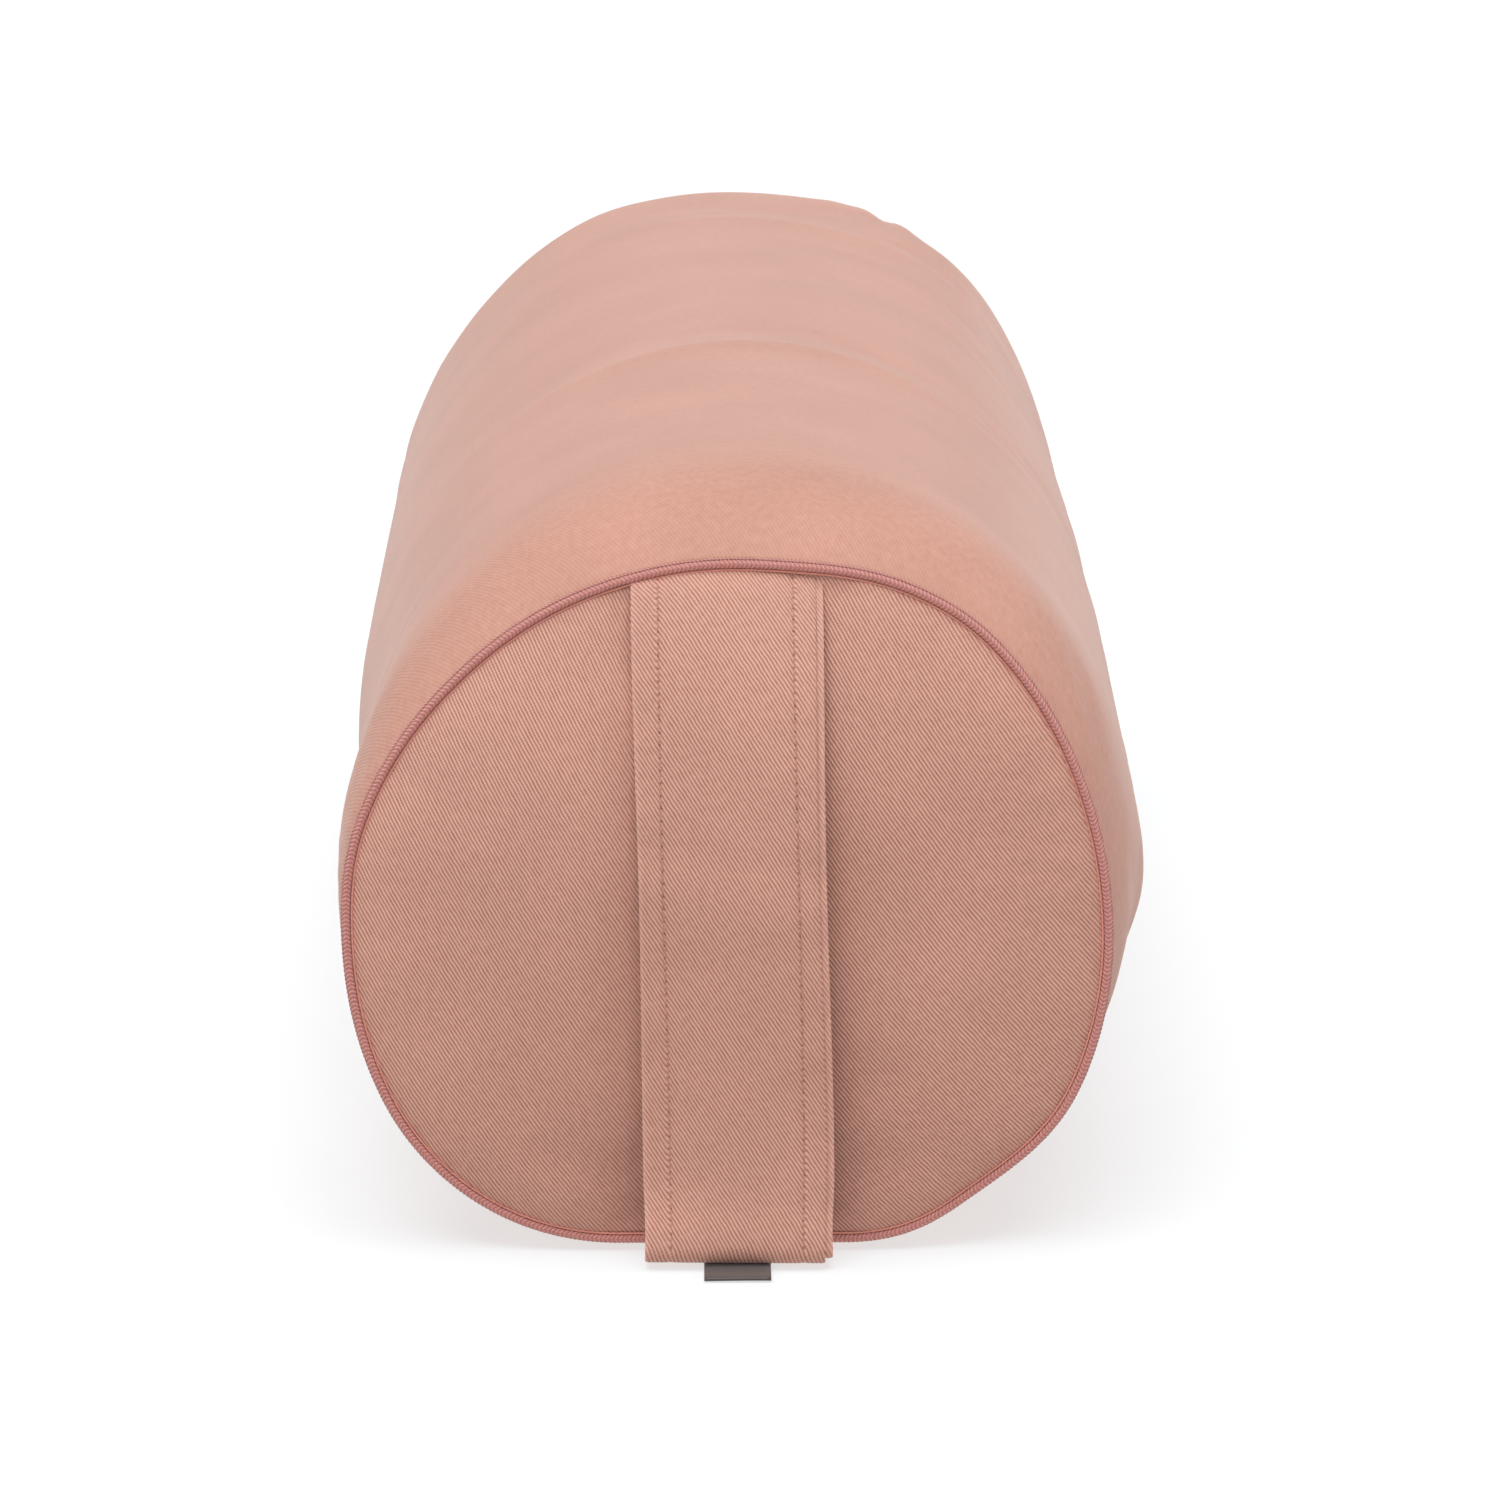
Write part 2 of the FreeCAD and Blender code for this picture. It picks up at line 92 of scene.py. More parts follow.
CLOTH_ROUND = 0.737         # length of the tube's cloth round it
SEAM_ROUND = 0.667          # and of its seams


# ---------------------------------------------------------------- small helpers

def smooth(value, low, high):
    """0 below low, 1 above high, smooth in between."""
    t = np.clip((value - low) / (high - low), 0, 1)
    return t * t * (3 - 2 * t)


def bump(value, middle, half_width):
    return np.exp(-(((value - middle) / half_width) ** 2))


def crest(distance, half_width):
    """A crease: a ridge with a narrow round top and long sides."""
    top = 0.22 * half_width
    return np.exp(-(np.sqrt(distance ** 2 + top ** 2) - top) / half_width)


def turn_between(a, b):
    """Smallest turn from one direction to another, in degrees."""
    return (a - b + 180) % 360 - 180


def ring_table(pairs, blur):
    """Smooth closed curve through pairs of degrees and millimetres, twice per degree."""
    at = np.arange(720) * 0.5
    table = np.interp(at, [p[0] for p in pairs], [p[1] for p in pairs], period=360)
    wave = np.fft.rfft(table)
    wave *= np.exp(-0.5 * (np.arange(len(wave)) * math.radians(blur)) ** 2)
    return np.fft.irfft(wave, 720) * MM


def look_up(table, degrees):
    return np.interp(degrees % 360, np.arange(720) * 0.5, table, period=360)


def normalised(v):
    return v / np.linalg.norm(v, axis=-1, keepdims=True)


def waves(share, count_low, count_high, number, generator):
    """Sum of a few waves round a ring, with unit height."""
    total = np.zeros_like(share)
    for _ in range(number):
        count = generator.integers(count_low, count_high)
        phase = generator.uniform(0, 2 * math.pi)
        total += np.sin(2 * math.pi * count * share + phase)
    return total / math.sqrt(number)


# ---------------------------------------------------------------- the cover's shape

# How far the stuffed cover stands out of an even section, as degrees round the tube from
# +X and millimetres.
SEAM_FRONT = ring_table(((0, -2.2), (16, -1.2), (34, 1.4), (48, 3.6), (62, 2.2), (80, -2.4),
                         (110, -3.2), (142, -2.8), (160, -1.0), (174, 0.5), (190, -0.8),
                         (240, 0.2), (290, 1.0), (310, -4.0), (326, -0.8)), 4)
SEAM_REAR = ring_table(((0, 0.5), (40, -0.5), (60, 2.0), (68, 3.6), (76, 1.4), (90, -1.6),
                        (125, -1.4), (155, 1.5), (188, -0.8), (220, 1.0), (300, -1.0)), 4)
BODY_NEAR = ring_table(((0, 4.0), (12, 0.4), (30, 2.0), (60, 1.8), (90, 0.0), (120, -2.4),
                        (150, -4.6), (165, -6.8), (185, -7.6), (200, -5.4), (220, -3.8),
                        (240, -2.4), (300, 0.4), (335, 4.6), (350, 7.0)), 5)
BODY_MIDDLE = ring_table(((0, 4.4), (12, 3.4), (30, 3.0), (60, 1.8), (90, 0.0), (120, -2.0),
                          (150, -2.6), (200, -3.0), (240, -1.4), (300, 0.4),
                          (335, 2.6)), 5)
BODY_FAR = ring_table(((0, 1.2), (20, 0.5), (32, 2.4), (44, 5.0), (56, 4.3), (67, 0.9),
                       (78, -1.5), (100, -1.8), (113, -1.1), (124, -2.5), (136, -4.7),
                       (159, -5.0), (168, -2.7), (200, -3.1), (240, -1.2), (300, 0.4),
                       (335, 2.0)), 4)
# Creases across the tube: place along it, their middle and reach round the tube in
# degrees, height in millimetres, half width along the tube, and slant.
FOLDS = ((-0.076, 78, 42, 1.9, 0.009, -0.004), (-0.045, 82, 46, -0.9, 0.020, -0.004),
         (0.205, 70, 36, 1.3, 0.009, 0.004), (0.235, 70, 30, -0.9, 0.020, 0.004),
         (0.160, 56, 22, 0.4, 0.004, 0.010), (0.120, 48, 18, 0.35, 0.004, 0.012),
         (-0.130, 95, 60, 0.5, 0.035, 0.010), (0.090, 78, 46, -0.5, 0.030, 0.016),
         (-0.215, 150, 26, -0.6, 0.030, -0.020), (-0.235, 28, 22, -0.6, 0.028, 0.020))
# Small gathers in the far seam: degrees, half width in degrees, height in millimetres.
PINCHES = ((70, 3.0, 0.5), (65, 2.2, 0.8), (61, 1.8, -0.9), (58, 2.0, 0.6), (53, 3.0, -0.5))
BASE_ANGLE = 270.0
BASE_HOLD = (16, 38)        # degrees from there in which the floor holds the cloth
FRONT_REACH = 0.075         # how far into the tube a seam's own shape reaches
REAR_REACH = 0.060
NEAR_TO_MIDDLE = (-0.22, -0.07)     # where one shape of the body turns into the next
MIDDLE_TO_FAR = (0.04, 0.24)
PLUMP = 2.8 * MM            # how far each end stands out close to its seam
SWELL = 4.4 * MM            # how much fuller the upper half of each end is
# The zips keep the cloth near them in place: angle, half widths of the stiff strip and of
# the strip it affects in degrees, and distances from the ends where this starts and is full.
HELD = ((COVER_ZIP_ANGLE, 9, 26, 0.012, 0.045), (LINER_ZIP_ANGLE, 6, 18, 0.045, 0.085))


def cross_section(share, inward, gap=0.0, base_gap=0.0):
    """Points and outward directions of the cover's section. share runs from the middle of
    the base, anticlockwise seen from the front."""
    swell = 1 - (1 - np.clip(inward / SHOULDER, 0, 1)) ** 3
    width = SEAM_WIDTH + swell * (TUBE_WIDTH - SEAM_WIDTH)
    height = SEAM_HEIGHT + swell * (TUBE_HEIGHT - SEAM_HEIGHT)
    half_flat = (SEAM_FLAT + swell * (TUBE_FLAT - SEAM_FLAT)) / 2
    lift = SEAM_LIFT * (1 - swell)
    radius = width / 2 - gap
    centre_z = lift + height - width / 2
    base_z = lift + base_gap
    rise = centre_z - base_z
    corner = (radius ** 2 - rise ** 2 - half_flat ** 2) / (2 * (radius - rise))
    lean = np.arctan2(base_z + corner - centre_z, half_flat)
    corner_run = corner * (lean + math.pi / 2)
    around = 2 * (half_flat + corner_run) + radius * (math.pi - 2 * lean)
    run = np.minimum(share, 1 - share) * around
    side = np.where(share <= 0.5, 1.0, -1.0)
    on_flat = run < half_flat
    on_corner = run < half_flat + corner_run
    low_turn = (run - half_flat) / corner - math.pi / 2
    top_turn = lean + (run - half_flat - corner_run) / radius
    turn = np.where(on_flat, -math.pi / 2, np.where(on_corner, low_turn, top_turn))
    x = np.where(on_flat, run, np.where(on_corner, half_flat + corner * np.cos(low_turn),
                                        radius * np.cos(top_turn)))
    z = np.where(on_flat, base_z, np.where(on_corner,
                                           base_z + corner * (1 + np.sin(low_turn)),
                                           centre_z + radius * np.sin(top_turn)))
    out_x = np.where(on_flat, 0.0, np.cos(turn))
    return side * x, z, side * out_x, np.sin(turn)


def seam_y(end):
    """Place of a seam. end is 1 at the front and -1 at the rear."""
    return FRONT_Y if end > 0 else BACK_Y


def share_of(angle, across=0.0, radius=TUBE_WIDTH / 2):
    """Share of the way round the tube at an angle, moved sideways by across."""
    right = math.cos(math.radians(angle)) > 0
    turned = math.radians(angle if right else 180 - angle)
    turned = (turned + math.pi) % (2 * math.pi) - math.pi
    half_flat = TUBE_FLAT / 2
    corner = ((TUBE_WIDTH / 2) ** 2 - AXIS_Z ** 2 - half_flat ** 2) \
        / (TUBE_WIDTH - 2 * AXIS_Z)
    lean = math.atan2(corner - AXIS_Z, half_flat)
    corner_run = corner * (lean + math.pi / 2)
    around = 2 * (half_flat + corner_run) + TUBE_WIDTH / 2 * (math.pi - 2 * lean)
    run = half_flat + corner_run + TUBE_WIDTH / 2 * (turned - lean)
    share = run / around if right else 1 - run / around
    return share + across / radius * (TUBE_WIDTH / 2) / around


def unevenness(angle, y):
    """How far the stuffing pushes the cover out of its even section. The cloth stays put
    where it lies on the floor and near the zips."""
    from_front = y - FRONT_Y
    from_back = BACK_Y - y
    out = look_up(SEAM_FRONT, angle) * (1 - smooth(from_front, 0.0, FRONT_REACH))
    out = out + look_up(SEAM_REAR, angle) * (1 - smooth(from_back, 0.0, REAR_REACH))
    to_middle = smooth(y, *NEAR_TO_MIDDLE)
    to_far = smooth(y, *MIDDLE_TO_FAR)
    body = look_up(BODY_NEAR, angle) * (1 - to_middle) + look_up(BODY_FAR, angle) * to_far
    body = body + look_up(BODY_MIDDLE, angle) * (to_middle - to_far)
    out = out + body * smooth(from_front, 0.0, 0.06) * smooth(from_back, -0.02, 0.05)
    for fold_y, middle, reach, height, half_width, slant in FOLDS:
        off = turn_between(angle, middle)
        line = fold_y + slant * off / 45
        out = out + height * MM * crest(y - line, half_width) * bump(off, 0, reach)
    at_far_seam = smooth(y, 0.22, 0.29)
    for place, half_width, height in PINCHES:
        pinch = height * MM * bump(turn_between(angle, place), 0, half_width)
        out = out + pinch * at_far_seam
    inward = np.minimum(from_front, from_back)
    for zip_angle, stiff, free, start, full in HELD:
        near = np.abs(turn_between(angle, zip_angle))
        out = out * (1 - smooth(inward, start, full) * (1 - smooth(near, stiff, free)))
    return out * smooth(np.abs(turn_between(angle, BASE_ANGLE)), *BASE_HOLD)


FINE_PUCKER = 0.16 * MM
BROAD_PUCKER = 0.20 * MM


def seam_puckers(share, y, generator_seed):
    """Small gathers where the cloth runs into the seams."""
    generator = np.random.default_rng(generator_seed)
    fine = waves(share, 34, 85, 6, generator)
    broad = waves(share, 9, 26, 5, generator)
    inward = np.minimum(y - FRONT_Y, BACK_Y - y)
    fade = np.exp(-inward / 0.008) * smooth(inward, 0.0, 0.004)
    wide_fade = np.exp(-inward / 0.030) * smooth(inward, 0.0, 0.012)
    return FINE_PUCKER * fine * fade + BROAD_PUCKER * broad * wide_fade


def tube_points(share, y, gap=0.0, base_gap=0.0, extra=0.0, puckers=0):
    """Points of a layer of the tube. share and y are grids."""
    inward = np.minimum(y - FRONT_Y, BACK_Y - y)
    x, z, out_x, out_z = cross_section(share, inward, gap, base_gap)
    angle = np.degrees(np.arctan2(z - AXIS_Z, x))
    out = unevenness(angle, y) + extra
    if puckers:
        above = smooth(np.abs(turn_between(angle, BASE_ANGLE)), 14, 34)
        out = out + seam_puckers(share, y, puckers) * above
    return np.stack([x + out_x * out, y + 0 * x, np.maximum(z + out_z * out, base_gap)], -1)


# Bulges of an end panel: height in millimetres, then middle and half width across it and
# middle and half height from its centre, in metres.
FRONT_BULGES = ((4.6, 0.0, 0.072, -0.002, 0.080), (2.6, -0.046, 0.026, -0.004, 0.075),
                (1.8, 0.056, 0.028, -0.012, 0.070))
FRONT_GATHERS = ((0.24, 0.101, 0.013, 0.030, 0.020), (0.16, -0.099, 0.011, 0.045, 0.020))
GATHER_PITCH = 9.5 * MM


def end_relief(x, z, end):
    """How far the end panel bulges beside the strap, or at the plain rear end."""
    height = z - SEAM_MID_Z
    relief = 0.0
    if end > 0:
        gathers = np.sin(2 * math.pi * (height + 0.12 * (x - 0.1)) / GATHER_PITCH)
        for table, wave in ((FRONT_BULGES, 1.0), (FRONT_GATHERS, gathers)):
            for size, middle, half, middle_z, half_z in table:
                patch = bump(x, middle, half) * bump(height, middle_z, half_z)
                relief = relief + size * wave * patch
    else:
        relief = 2.2 * bump(x, 0.038, 0.045) * bump(height, 0.015, 0.06)
        relief = relief - 1.6 * bump(x + 0.5 * height, -0.030, 0.028)
    return relief * MM


def end_points(share, scale, end, gap=0.0, base_gap=0.0, start=0.0, extra=0.0):
    """Points of a crowned end. scale is 1 at its seam and 0 in its middle."""
    x, z, out_x, out_z = cross_section(share, np.full_like(share, start), gap, base_gap)
    angle = np.degrees(np.arctan2(z - AXIS_Z, x))
    out = unevenness(angle, np.full_like(share, seam_y(end)))
    x = (x + out_x * out) * scale
    z = SEAM_MID_Z + (np.maximum(z + out_z * out, base_gap) - SEAM_MID_Z) * scale
    beside_strap = smooth(np.abs(x), 22 * MM, 44 * MM) if end > 0 else 1.0
    plump = PLUMP * (1 - np.exp(-(1 - scale) / 0.04)) * beside_strap
    crown = CROWN * (1 - scale ** 2) + end_relief(x, z, end) * (1 - scale ** 6)
    swell = SWELL * smooth(z, 90 * MM, 158 * MM) * (1 - smooth(z, 160 * MM, 207 * MM))
    crown = crown + plump + swell * (1 - scale ** 6) + extra
    return np.stack([x, seam_y(end) + end * start - end * crown, z], -1)


def seam_ring(share, end, gap=0.0, inward=0.0, outside=0.0):
    """Points of a ring that follows a seam, under the cover by gap, and their outward
    directions."""
    x, z, out_x, out_z = cross_section(share, np.zeros_like(share), gap, gap)
    at_seam = np.full_like(share, seam_y(end))
    out = unevenness(np.degrees(np.arctan2(z - AXIS_Z, x)), at_seam) + outside
    points = np.stack([x + out_x * out, at_seam + end * inward, z + out_z * out], -1)
    return points, np.stack([out_x, 0 * out_x, out_z], -1)


# ---------------------------------------------------------------- meshes

def make_object(name, points, faces):
    mesh = bpy.data.meshes.new(name)
    mesh.from_pydata(np.asarray(points, float).reshape(-1, 3).tolist(), [], faces)
    mesh.update()
    mesh.polygons.foreach_set("use_smooth", np.ones(len(mesh.polygons), bool))
    piece = bpy.data.objects.new(name, mesh)
    bpy.context.scene.collection.objects.link(piece)
    return piece


def mesh_faces(rows, columns, closed=False, flip=False, skip=None):
    """Faces of a grid whose rows run along the tube and whose columns run round it."""
    row, column = np.meshgrid(np.arange(rows - 1), np.arange(columns - (not closed)),
                              indexing="ij")
    a = row * columns + column
    b = row * columns + (column + 1) % columns
    quads = np.stack([a, a + columns, b + columns, b], -1)
    if skip is not None:
        quads = quads[~skip]
    if flip:
        quads = quads[..., [0, 3, 2, 1]]
    return quads.reshape(-1, 4).tolist()


def turned(faces):
    """The same faces, looking the other way."""
    return [face[::-1] for face in faces]


def ring_caps(rows, columns):
    """Faces that close the first and the last ring."""
    last = (rows - 1) * columns
    return [list(range(columns)), list(range(last + columns - 1, last - 1, -1))]


def crowned_mesh(name, points, end, closed=False):
    """Mesh of a round end: rings that get smaller, with a fan in the middle."""
    rows, columns = points.shape[:2]
    last = (rows - 1) * columns
    faces = mesh_faces(rows, columns, closed)
    faces += [[last + c, rows * columns, last + (c + 1) % columns]
              for c in range(columns - (not closed))]
    if end > 0:
        faces = turned(faces)
    flat = np.concatenate([points.reshape(-1, 3), points[-1].mean(0)[None]])
    return make_object(name, flat, faces), flat


def add_cloth(piece, coordinates, wear=None):
    """Stores where each point lies on the flat cloth, for the weave."""
    flat = np.asarray(coordinates, np.float32).reshape(-1, 2)
    full = np.concatenate([flat, np.zeros((len(flat), 1), np.float32)], 1)
    cloth = piece.data.attributes.new("cloth", "FLOAT_VECTOR", "POINT")
    cloth.data.foreach_set("vector", full.ravel())
    worn = piece.data.attributes.new("wear", "FLOAT", "POINT")
    if wear is None:
        wear = np.zeros(len(flat))
    worn.data.foreach_set("value", np.asarray(wear, np.float32).ravel())


def thicken(piece, thickness, offset=-1.0):
    solidify = piece.modifiers.new("thickness", "SOLIDIFY")
    solidify.thickness = thickness
    solidify.offset = offset
    solidify.use_even_offset = False
    return solidify


def dress(piece, material, body, replaced=()):
    piece.data.materials.clear()
    piece.data.materials.append(material)
    if body:
        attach(piece, body)
    if replaced:
        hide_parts(*replaced)
    return piece


# ---------------------------------------------------------------- materials

class Graph:
    """Short calls for adding shader nodes."""

    def __init__(self, tree):
        self.tree = tree

    def link(self, value, socket):
        if isinstance(value, bpy.types.NodeSocket):
            self.tree.links.new(value, socket)
        else:
            socket.default_value = value

    def node(self, kind, *values, out=0, settings=None, **named):
        """Adds a node, fills its inputs in order or by name, and returns an output."""
        node = self.tree.nodes.new("ShaderNode" + kind)
        for key, value in (settings or {}).items():
            setattr(node, key, value)
        for value, socket in zip(values, node.inputs):
            self.link(value, socket)
        for key, value in named.items():
            self.link(value, node.inputs[key])
        return node.outputs[out]

    def math(self, operation, a, b=0.0, c=0.0):
        return self.node("Math", a, b, c, settings={"operation": operation})

    def add(self, a, b):
        return self.math("ADD", a, b)

    def times(self, a, b):
        return self.math("MULTIPLY", a, b)

    def times_add(self, a, b, c):
        return self.math("MULTIPLY_ADD", a, b, c)

    def over(self, a, b):
        return self.math("DIVIDE", a, b)

    def pingpong(self, value, scale):
        return self.math("PINGPONG", value, scale)

    def vector(self, operation, a, b, out=0):
        return self.node("VectorMath", a, b, out=out, settings={"operation": operation})

    def dot(self, a, b):
        return self.vector("DOT_PRODUCT", a, b, "Value")

    def attribute(self, name, out="Vector"):
        return self.node("Attribute", out=out, settings={"attribute_name": name})

    def place(self):
        return self.node("TexCoord", out="Object")

    def parts(self, vector):
        return self.node("SeparateXYZ", vector).node.outputs

    def noise(self, vector, scale, detail=2.0, roughness=0.5):
        return self.node("TexNoise", out="Fac", Vector=vector, Scale=scale, Detail=detail,
                         Roughness=roughness)

    def mix(self, factor, a, b, blend="MIX"):
        first, second = ((*v, 1) if isinstance(v, tuple) else v for v in (a, b))
        mixed = self.node("Mix", factor, out=2,
                          settings={"data_type": "RGBA", "blend_type": blend})
        self.link(first, mixed.node.inputs[6])
        self.link(second, mixed.node.inputs[7])
        return mixed

    def range(self, value, from_low, from_high, to_low, to_high):
        return self.node("MapRange", value, from_low, from_high, to_low, to_high)

    def ridge(self, phase):
        """0 in the groove and 1 on the ridge of a wave that repeats at every whole phase."""
        return self.times(self.pingpong(phase, 0.5), 2.0)


class Look(Graph):
    """One material. coat gives it a colour and a relief, and returns the material."""

    def __init__(self, name, roughness, sheen=0.0, sheen_tint=(1, 1, 1), metallic=0.0,
                 specular=0.5, anisotropy=0.0, sheen_roughness=0.45):
        self.material = bpy.data.materials.new(name)
        self.material.use_nodes = True
        super().__init__(self.material.node_tree)
        self.shader = self.tree.nodes["Principled BSDF"]
        for socket, value in (("Roughness", roughness), ("Metallic", metallic),
                              ("Specular IOR Level", specular), ("Sheen Weight", sheen),
                              ("Sheen Roughness", sheen_roughness),
                              ("Sheen Tint", (*sheen_tint, 1)),
                              ("Anisotropic", anisotropy)):
            self.set(socket, value)

    def set(self, socket, value):
        self.link(value, self.shader.inputs[socket])

    def coat(self, colour, height, strength, distance):
        self.set("Base Color", colour)
        relief = self.node("Bump", Strength=strength, Distance=distance, Height=height)
        self.set("Normal", relief)
        return self.material


def stitch_row(look, colour, height, along, across, row, kind, near, depth, dark):
    """Needle holes in a row. along and across it are cloth coordinates."""
    pitch, low, strength = kind
    hole = look.pingpong(look.over(along, pitch), 0.5)
    hole = look.range(hole, low, 0.44, 0.0, 1.0)
    off = look.math("ABSOLUTE", look.math("SUBTRACT", across, row))
    here = look.times(look.range(off, near[0] * MM, near[1] * MM, 1.0, 0.0), hole)
    # The hole is dented and painted darker: painted shade in the needle hole.
    colour = look.mix(look.times(here, strength), colour, dark)
    return colour, look.times_add(here, depth, height)


TWILL_RIB = 1.02 * MM       # pitch of the diagonal ribs
TWILL_YARN = 0.62 * MM      # pitch of the yarns along a rib
YARN_STEP = 0.37            # how far the yarns shift from one rib to the next
EDGE_WEAR = 0.55            # how much the colour fades on worn edges


def twill_material(name, light, dark, wale, depth, contrast, rows=(), seam_rows=(),
                   sheen=0.32, sheen_roughness=0.45):
    """Cotton twill. wale is the direction across the diagonal ribs, in cloth coordinates.
    rows are places across the cloth of its topstitches, and seam_rows are places along it
    of the needle holes beside a seam."""
    look = Look(name, 0.92, sheen, (1.0, 0.93, 0.89), specular=0.25,
                sheen_roughness=sheen_roughness)
    cloth = look.attribute("cloth")
    wobble = look.times(look.noise(cloth, 260, 2), 0.55)
    across = look.dot(cloth, (wale[0] / TWILL_RIB, wale[1] / TWILL_RIB, 0))
    across = look.add(across, wobble)
    along = look.dot(cloth, (-wale[1] / TWILL_YARN, wale[0] / TWILL_YARN, 0))
    along = look.add(along, look.times(look.math("FLOOR", across), YARN_STEP))
    rib = look.ridge(across)
    float_yarn = look.ridge(along)
    fuzz = look.noise(cloth, 2600, 3, 0.65)
    slub = look.noise(cloth, 420, 3, 0.6)
    height = look.times_add(float_yarn, 0.3, rib)
    height = look.times_add(fuzz, 0.5, height)
    height = look.times_add(slub, 0.35, height)
    # The colour follows the ribs: light on their ridges and dark in their grooves, round the
    # cloth's own colour. This is painted highlight on the ridges and painted shade in the
    # grooves.
    tone = look.times_add(rib, contrast, look.times(fuzz, 0.35))
    tone = look.times_add(float_yarn, contrast * 0.3, tone)
    tone = look.add(tone, look.range(slub, 0.3, 0.7, -0.12, 0.12))
    colour = look.mix(look.add(tone, 0.50 - contrast * 0.64), dark, light)
    patches = look.range(look.noise(cloth, 22, 3), 0.3, 0.7, 0.955, 1.045)
    tint = look.mix(look.noise(cloth, 9, 2), (1.0, 0.985, 0.975), (0.985, 1.0, 1.01))
    colour = look.mix(1.0, colour, tint, "MULTIPLY")
    colour = look.node("VectorMath", colour, settings={"operation": "SCALE"}, Scale=patches)
    worn = look.times(look.attribute("wear", "Fac"), look.range(fuzz, 0.35, 0.65, 0.4, 1.0))
    lighter = tuple(min(1.0, c * 1.22 + 0.02) for c in light)
    colour = look.mix(look.times(worn, EDGE_WEAR), colour, lighter)
    part = look.parts(cloth)
    # Needle holes of the topstitches and beside the seams, painted dark as painted shade in
    # the holes.
    for row in rows:
        colour, height = stitch_row(look, colour, height, part[1], part[0], row,
                                    STRAP_HOLES, (0.12, 0.42), -1.5, (0.20, 0.07, 0.05))
    for row in seam_rows:
        colour, height = stitch_row(look, colour, height, part[0], part[1], row,
                                    SEAM_HOLES, (0.2, 0.55), -2.0, (0.26, 0.085, 0.06))
    return look.coat(colour, height, depth, 0.22 * MM)


def braid_material(name, light, dark, pitch, columns, depth):
    """Braided cord: rows of small slanted ribs that meet in a herringbone. The cloth
    coordinates are length along the cord and turns round it."""
    look = Look(name, 0.7, 0.28, (1.0, 0.85, 0.83), specular=0.35)
    cloth = look.attribute("cloth")
    run, turn, _ = look.parts(cloth)
    fold = look.pingpong(look.times(turn, columns), 0.5)
    rib = look.ridge(look.times_add(fold, 1.5, look.over(run, pitch)))
    groove = look.times(look.range(fold, 0.0, 0.14, 0.0, 1.0),
                        look.range(fold, 0.36, 0.5, 1.0, 0.0))
    fuzz = look.noise(cloth, 1800, 3)
    height = look.times(rib, look.times_add(groove, 0.5, 0.5))
    # Colour follows the relief: the ribs take the light colour and the grooves between them
    # the dark one, which is painted highlight on the ribs and painted shade in the grooves.
    tone = look.times_add(height, 0.75, look.times(fuzz, 0.3))
    patches = look.range(look.noise(cloth, 60, 2), 0.3, 0.7, -0.1, 0.1)
    return look.coat(look.mix(look.add(tone, patches), dark, light),
                     look.times_add(fuzz, 0.2, height), depth, 0.3 * MM)


def thread_material(name, light, dark, pitch=0.55 * MM):
    """Twisted sewing thread."""
    look = Look(name, 0.55, 0.2, (1.0, 0.9, 0.88), specular=0.4)
    place = look.place()
    slant = (0.6 / pitch, 0.65 / pitch, 0.5 / pitch)
    twist = look.ridge(look.dot(place, slant))
    fuzz = look.noise(place, 1500, 2)
    tone = look.times_add(fuzz, 0.5, look.times(twist, 0.6))
    return look.coat(look.mix(tone, dark, light), twist, 0.6, 0.1 * MM)


def weave_material(name, light, dark, pitch, depth, herringbone=0.0):
    """Plain weave, or narrow woven tape when herringbone gives the width of its columns."""
    look = Look(name, 0.85, 0.15, (1, 0.97, 0.95), specular=0.3)
    cloth = look.attribute("cloth")
    x, y, _ = look.parts(cloth)
    along = look.over(y, pitch)
    if herringbone:
        fold = look.pingpong(x, herringbone)
        yarns = look.ridge(look.add(along, look.over(fold, pitch)))
    else:
        warp = look.ridge(look.over(x, pitch))
        yarns = look.math("MAXIMUM", look.ridge(along), look.math("SUBTRACT", 1.0, warp))
    fuzz = look.noise(cloth, 1900, 3, 0.6)
    tone = look.times_add(yarns, 0.55, look.times(fuzz, 0.35))
    tone = look.add(tone, look.range(look.noise(cloth, 12, 3), 0.3, 0.7, -0.15, 0.15))
    return look.coat(look.mix(tone, dark, light),
                     look.times_add(fuzz, 0.3, yarns), depth, 0.15 * MM)


def satin_material(name, light, dark, sheen=0.3):
    """Blank satin ribbon: very fine ribs across it and a soft gloss."""
    look = Look(name, 0.42, sheen, (1, 0.98, 0.97), specular=0.5, anisotropy=0.5)
    cloth = look.attribute("cloth")
    rib = look.ridge(look.over(look.parts(cloth)[1], 0.28 * MM))
    streaks = look.noise(look.vector("MULTIPLY", cloth, (5000, 300, 1)), 1.0, 2)
    tone = look.times_add(rib, 0.3, look.times(streaks, 0.7))
    return look.coat(look.mix(tone, dark, light), look.add(rib, streaks), 0.35, 0.08 * MM)


def metal_material(name, colour, dark, roughness, scratch):
    """Die-cast or pressed metal, plated, with fine scratches and dulled patches."""
    look = Look(name, roughness, metallic=1.0)
    place = look.place()
    patches = look.noise(place, 380, 4, 0.6)
    scratches = look.noise(look.vector("MULTIPLY", place, (9000, 700, 9000)), 1.0, 2)
    look.set("Roughness", look.range(patches, 0.3, 0.7, roughness * 0.75, roughness * 1.35))
    height = look.times_add(patches, 0.4, look.times(scratches, scratch))
    return look.coat(look.mix(look.range(patches, 0.35, 0.7, 0.0, 1.0), colour, dark),
                     height, 0.35, 0.05 * MM)


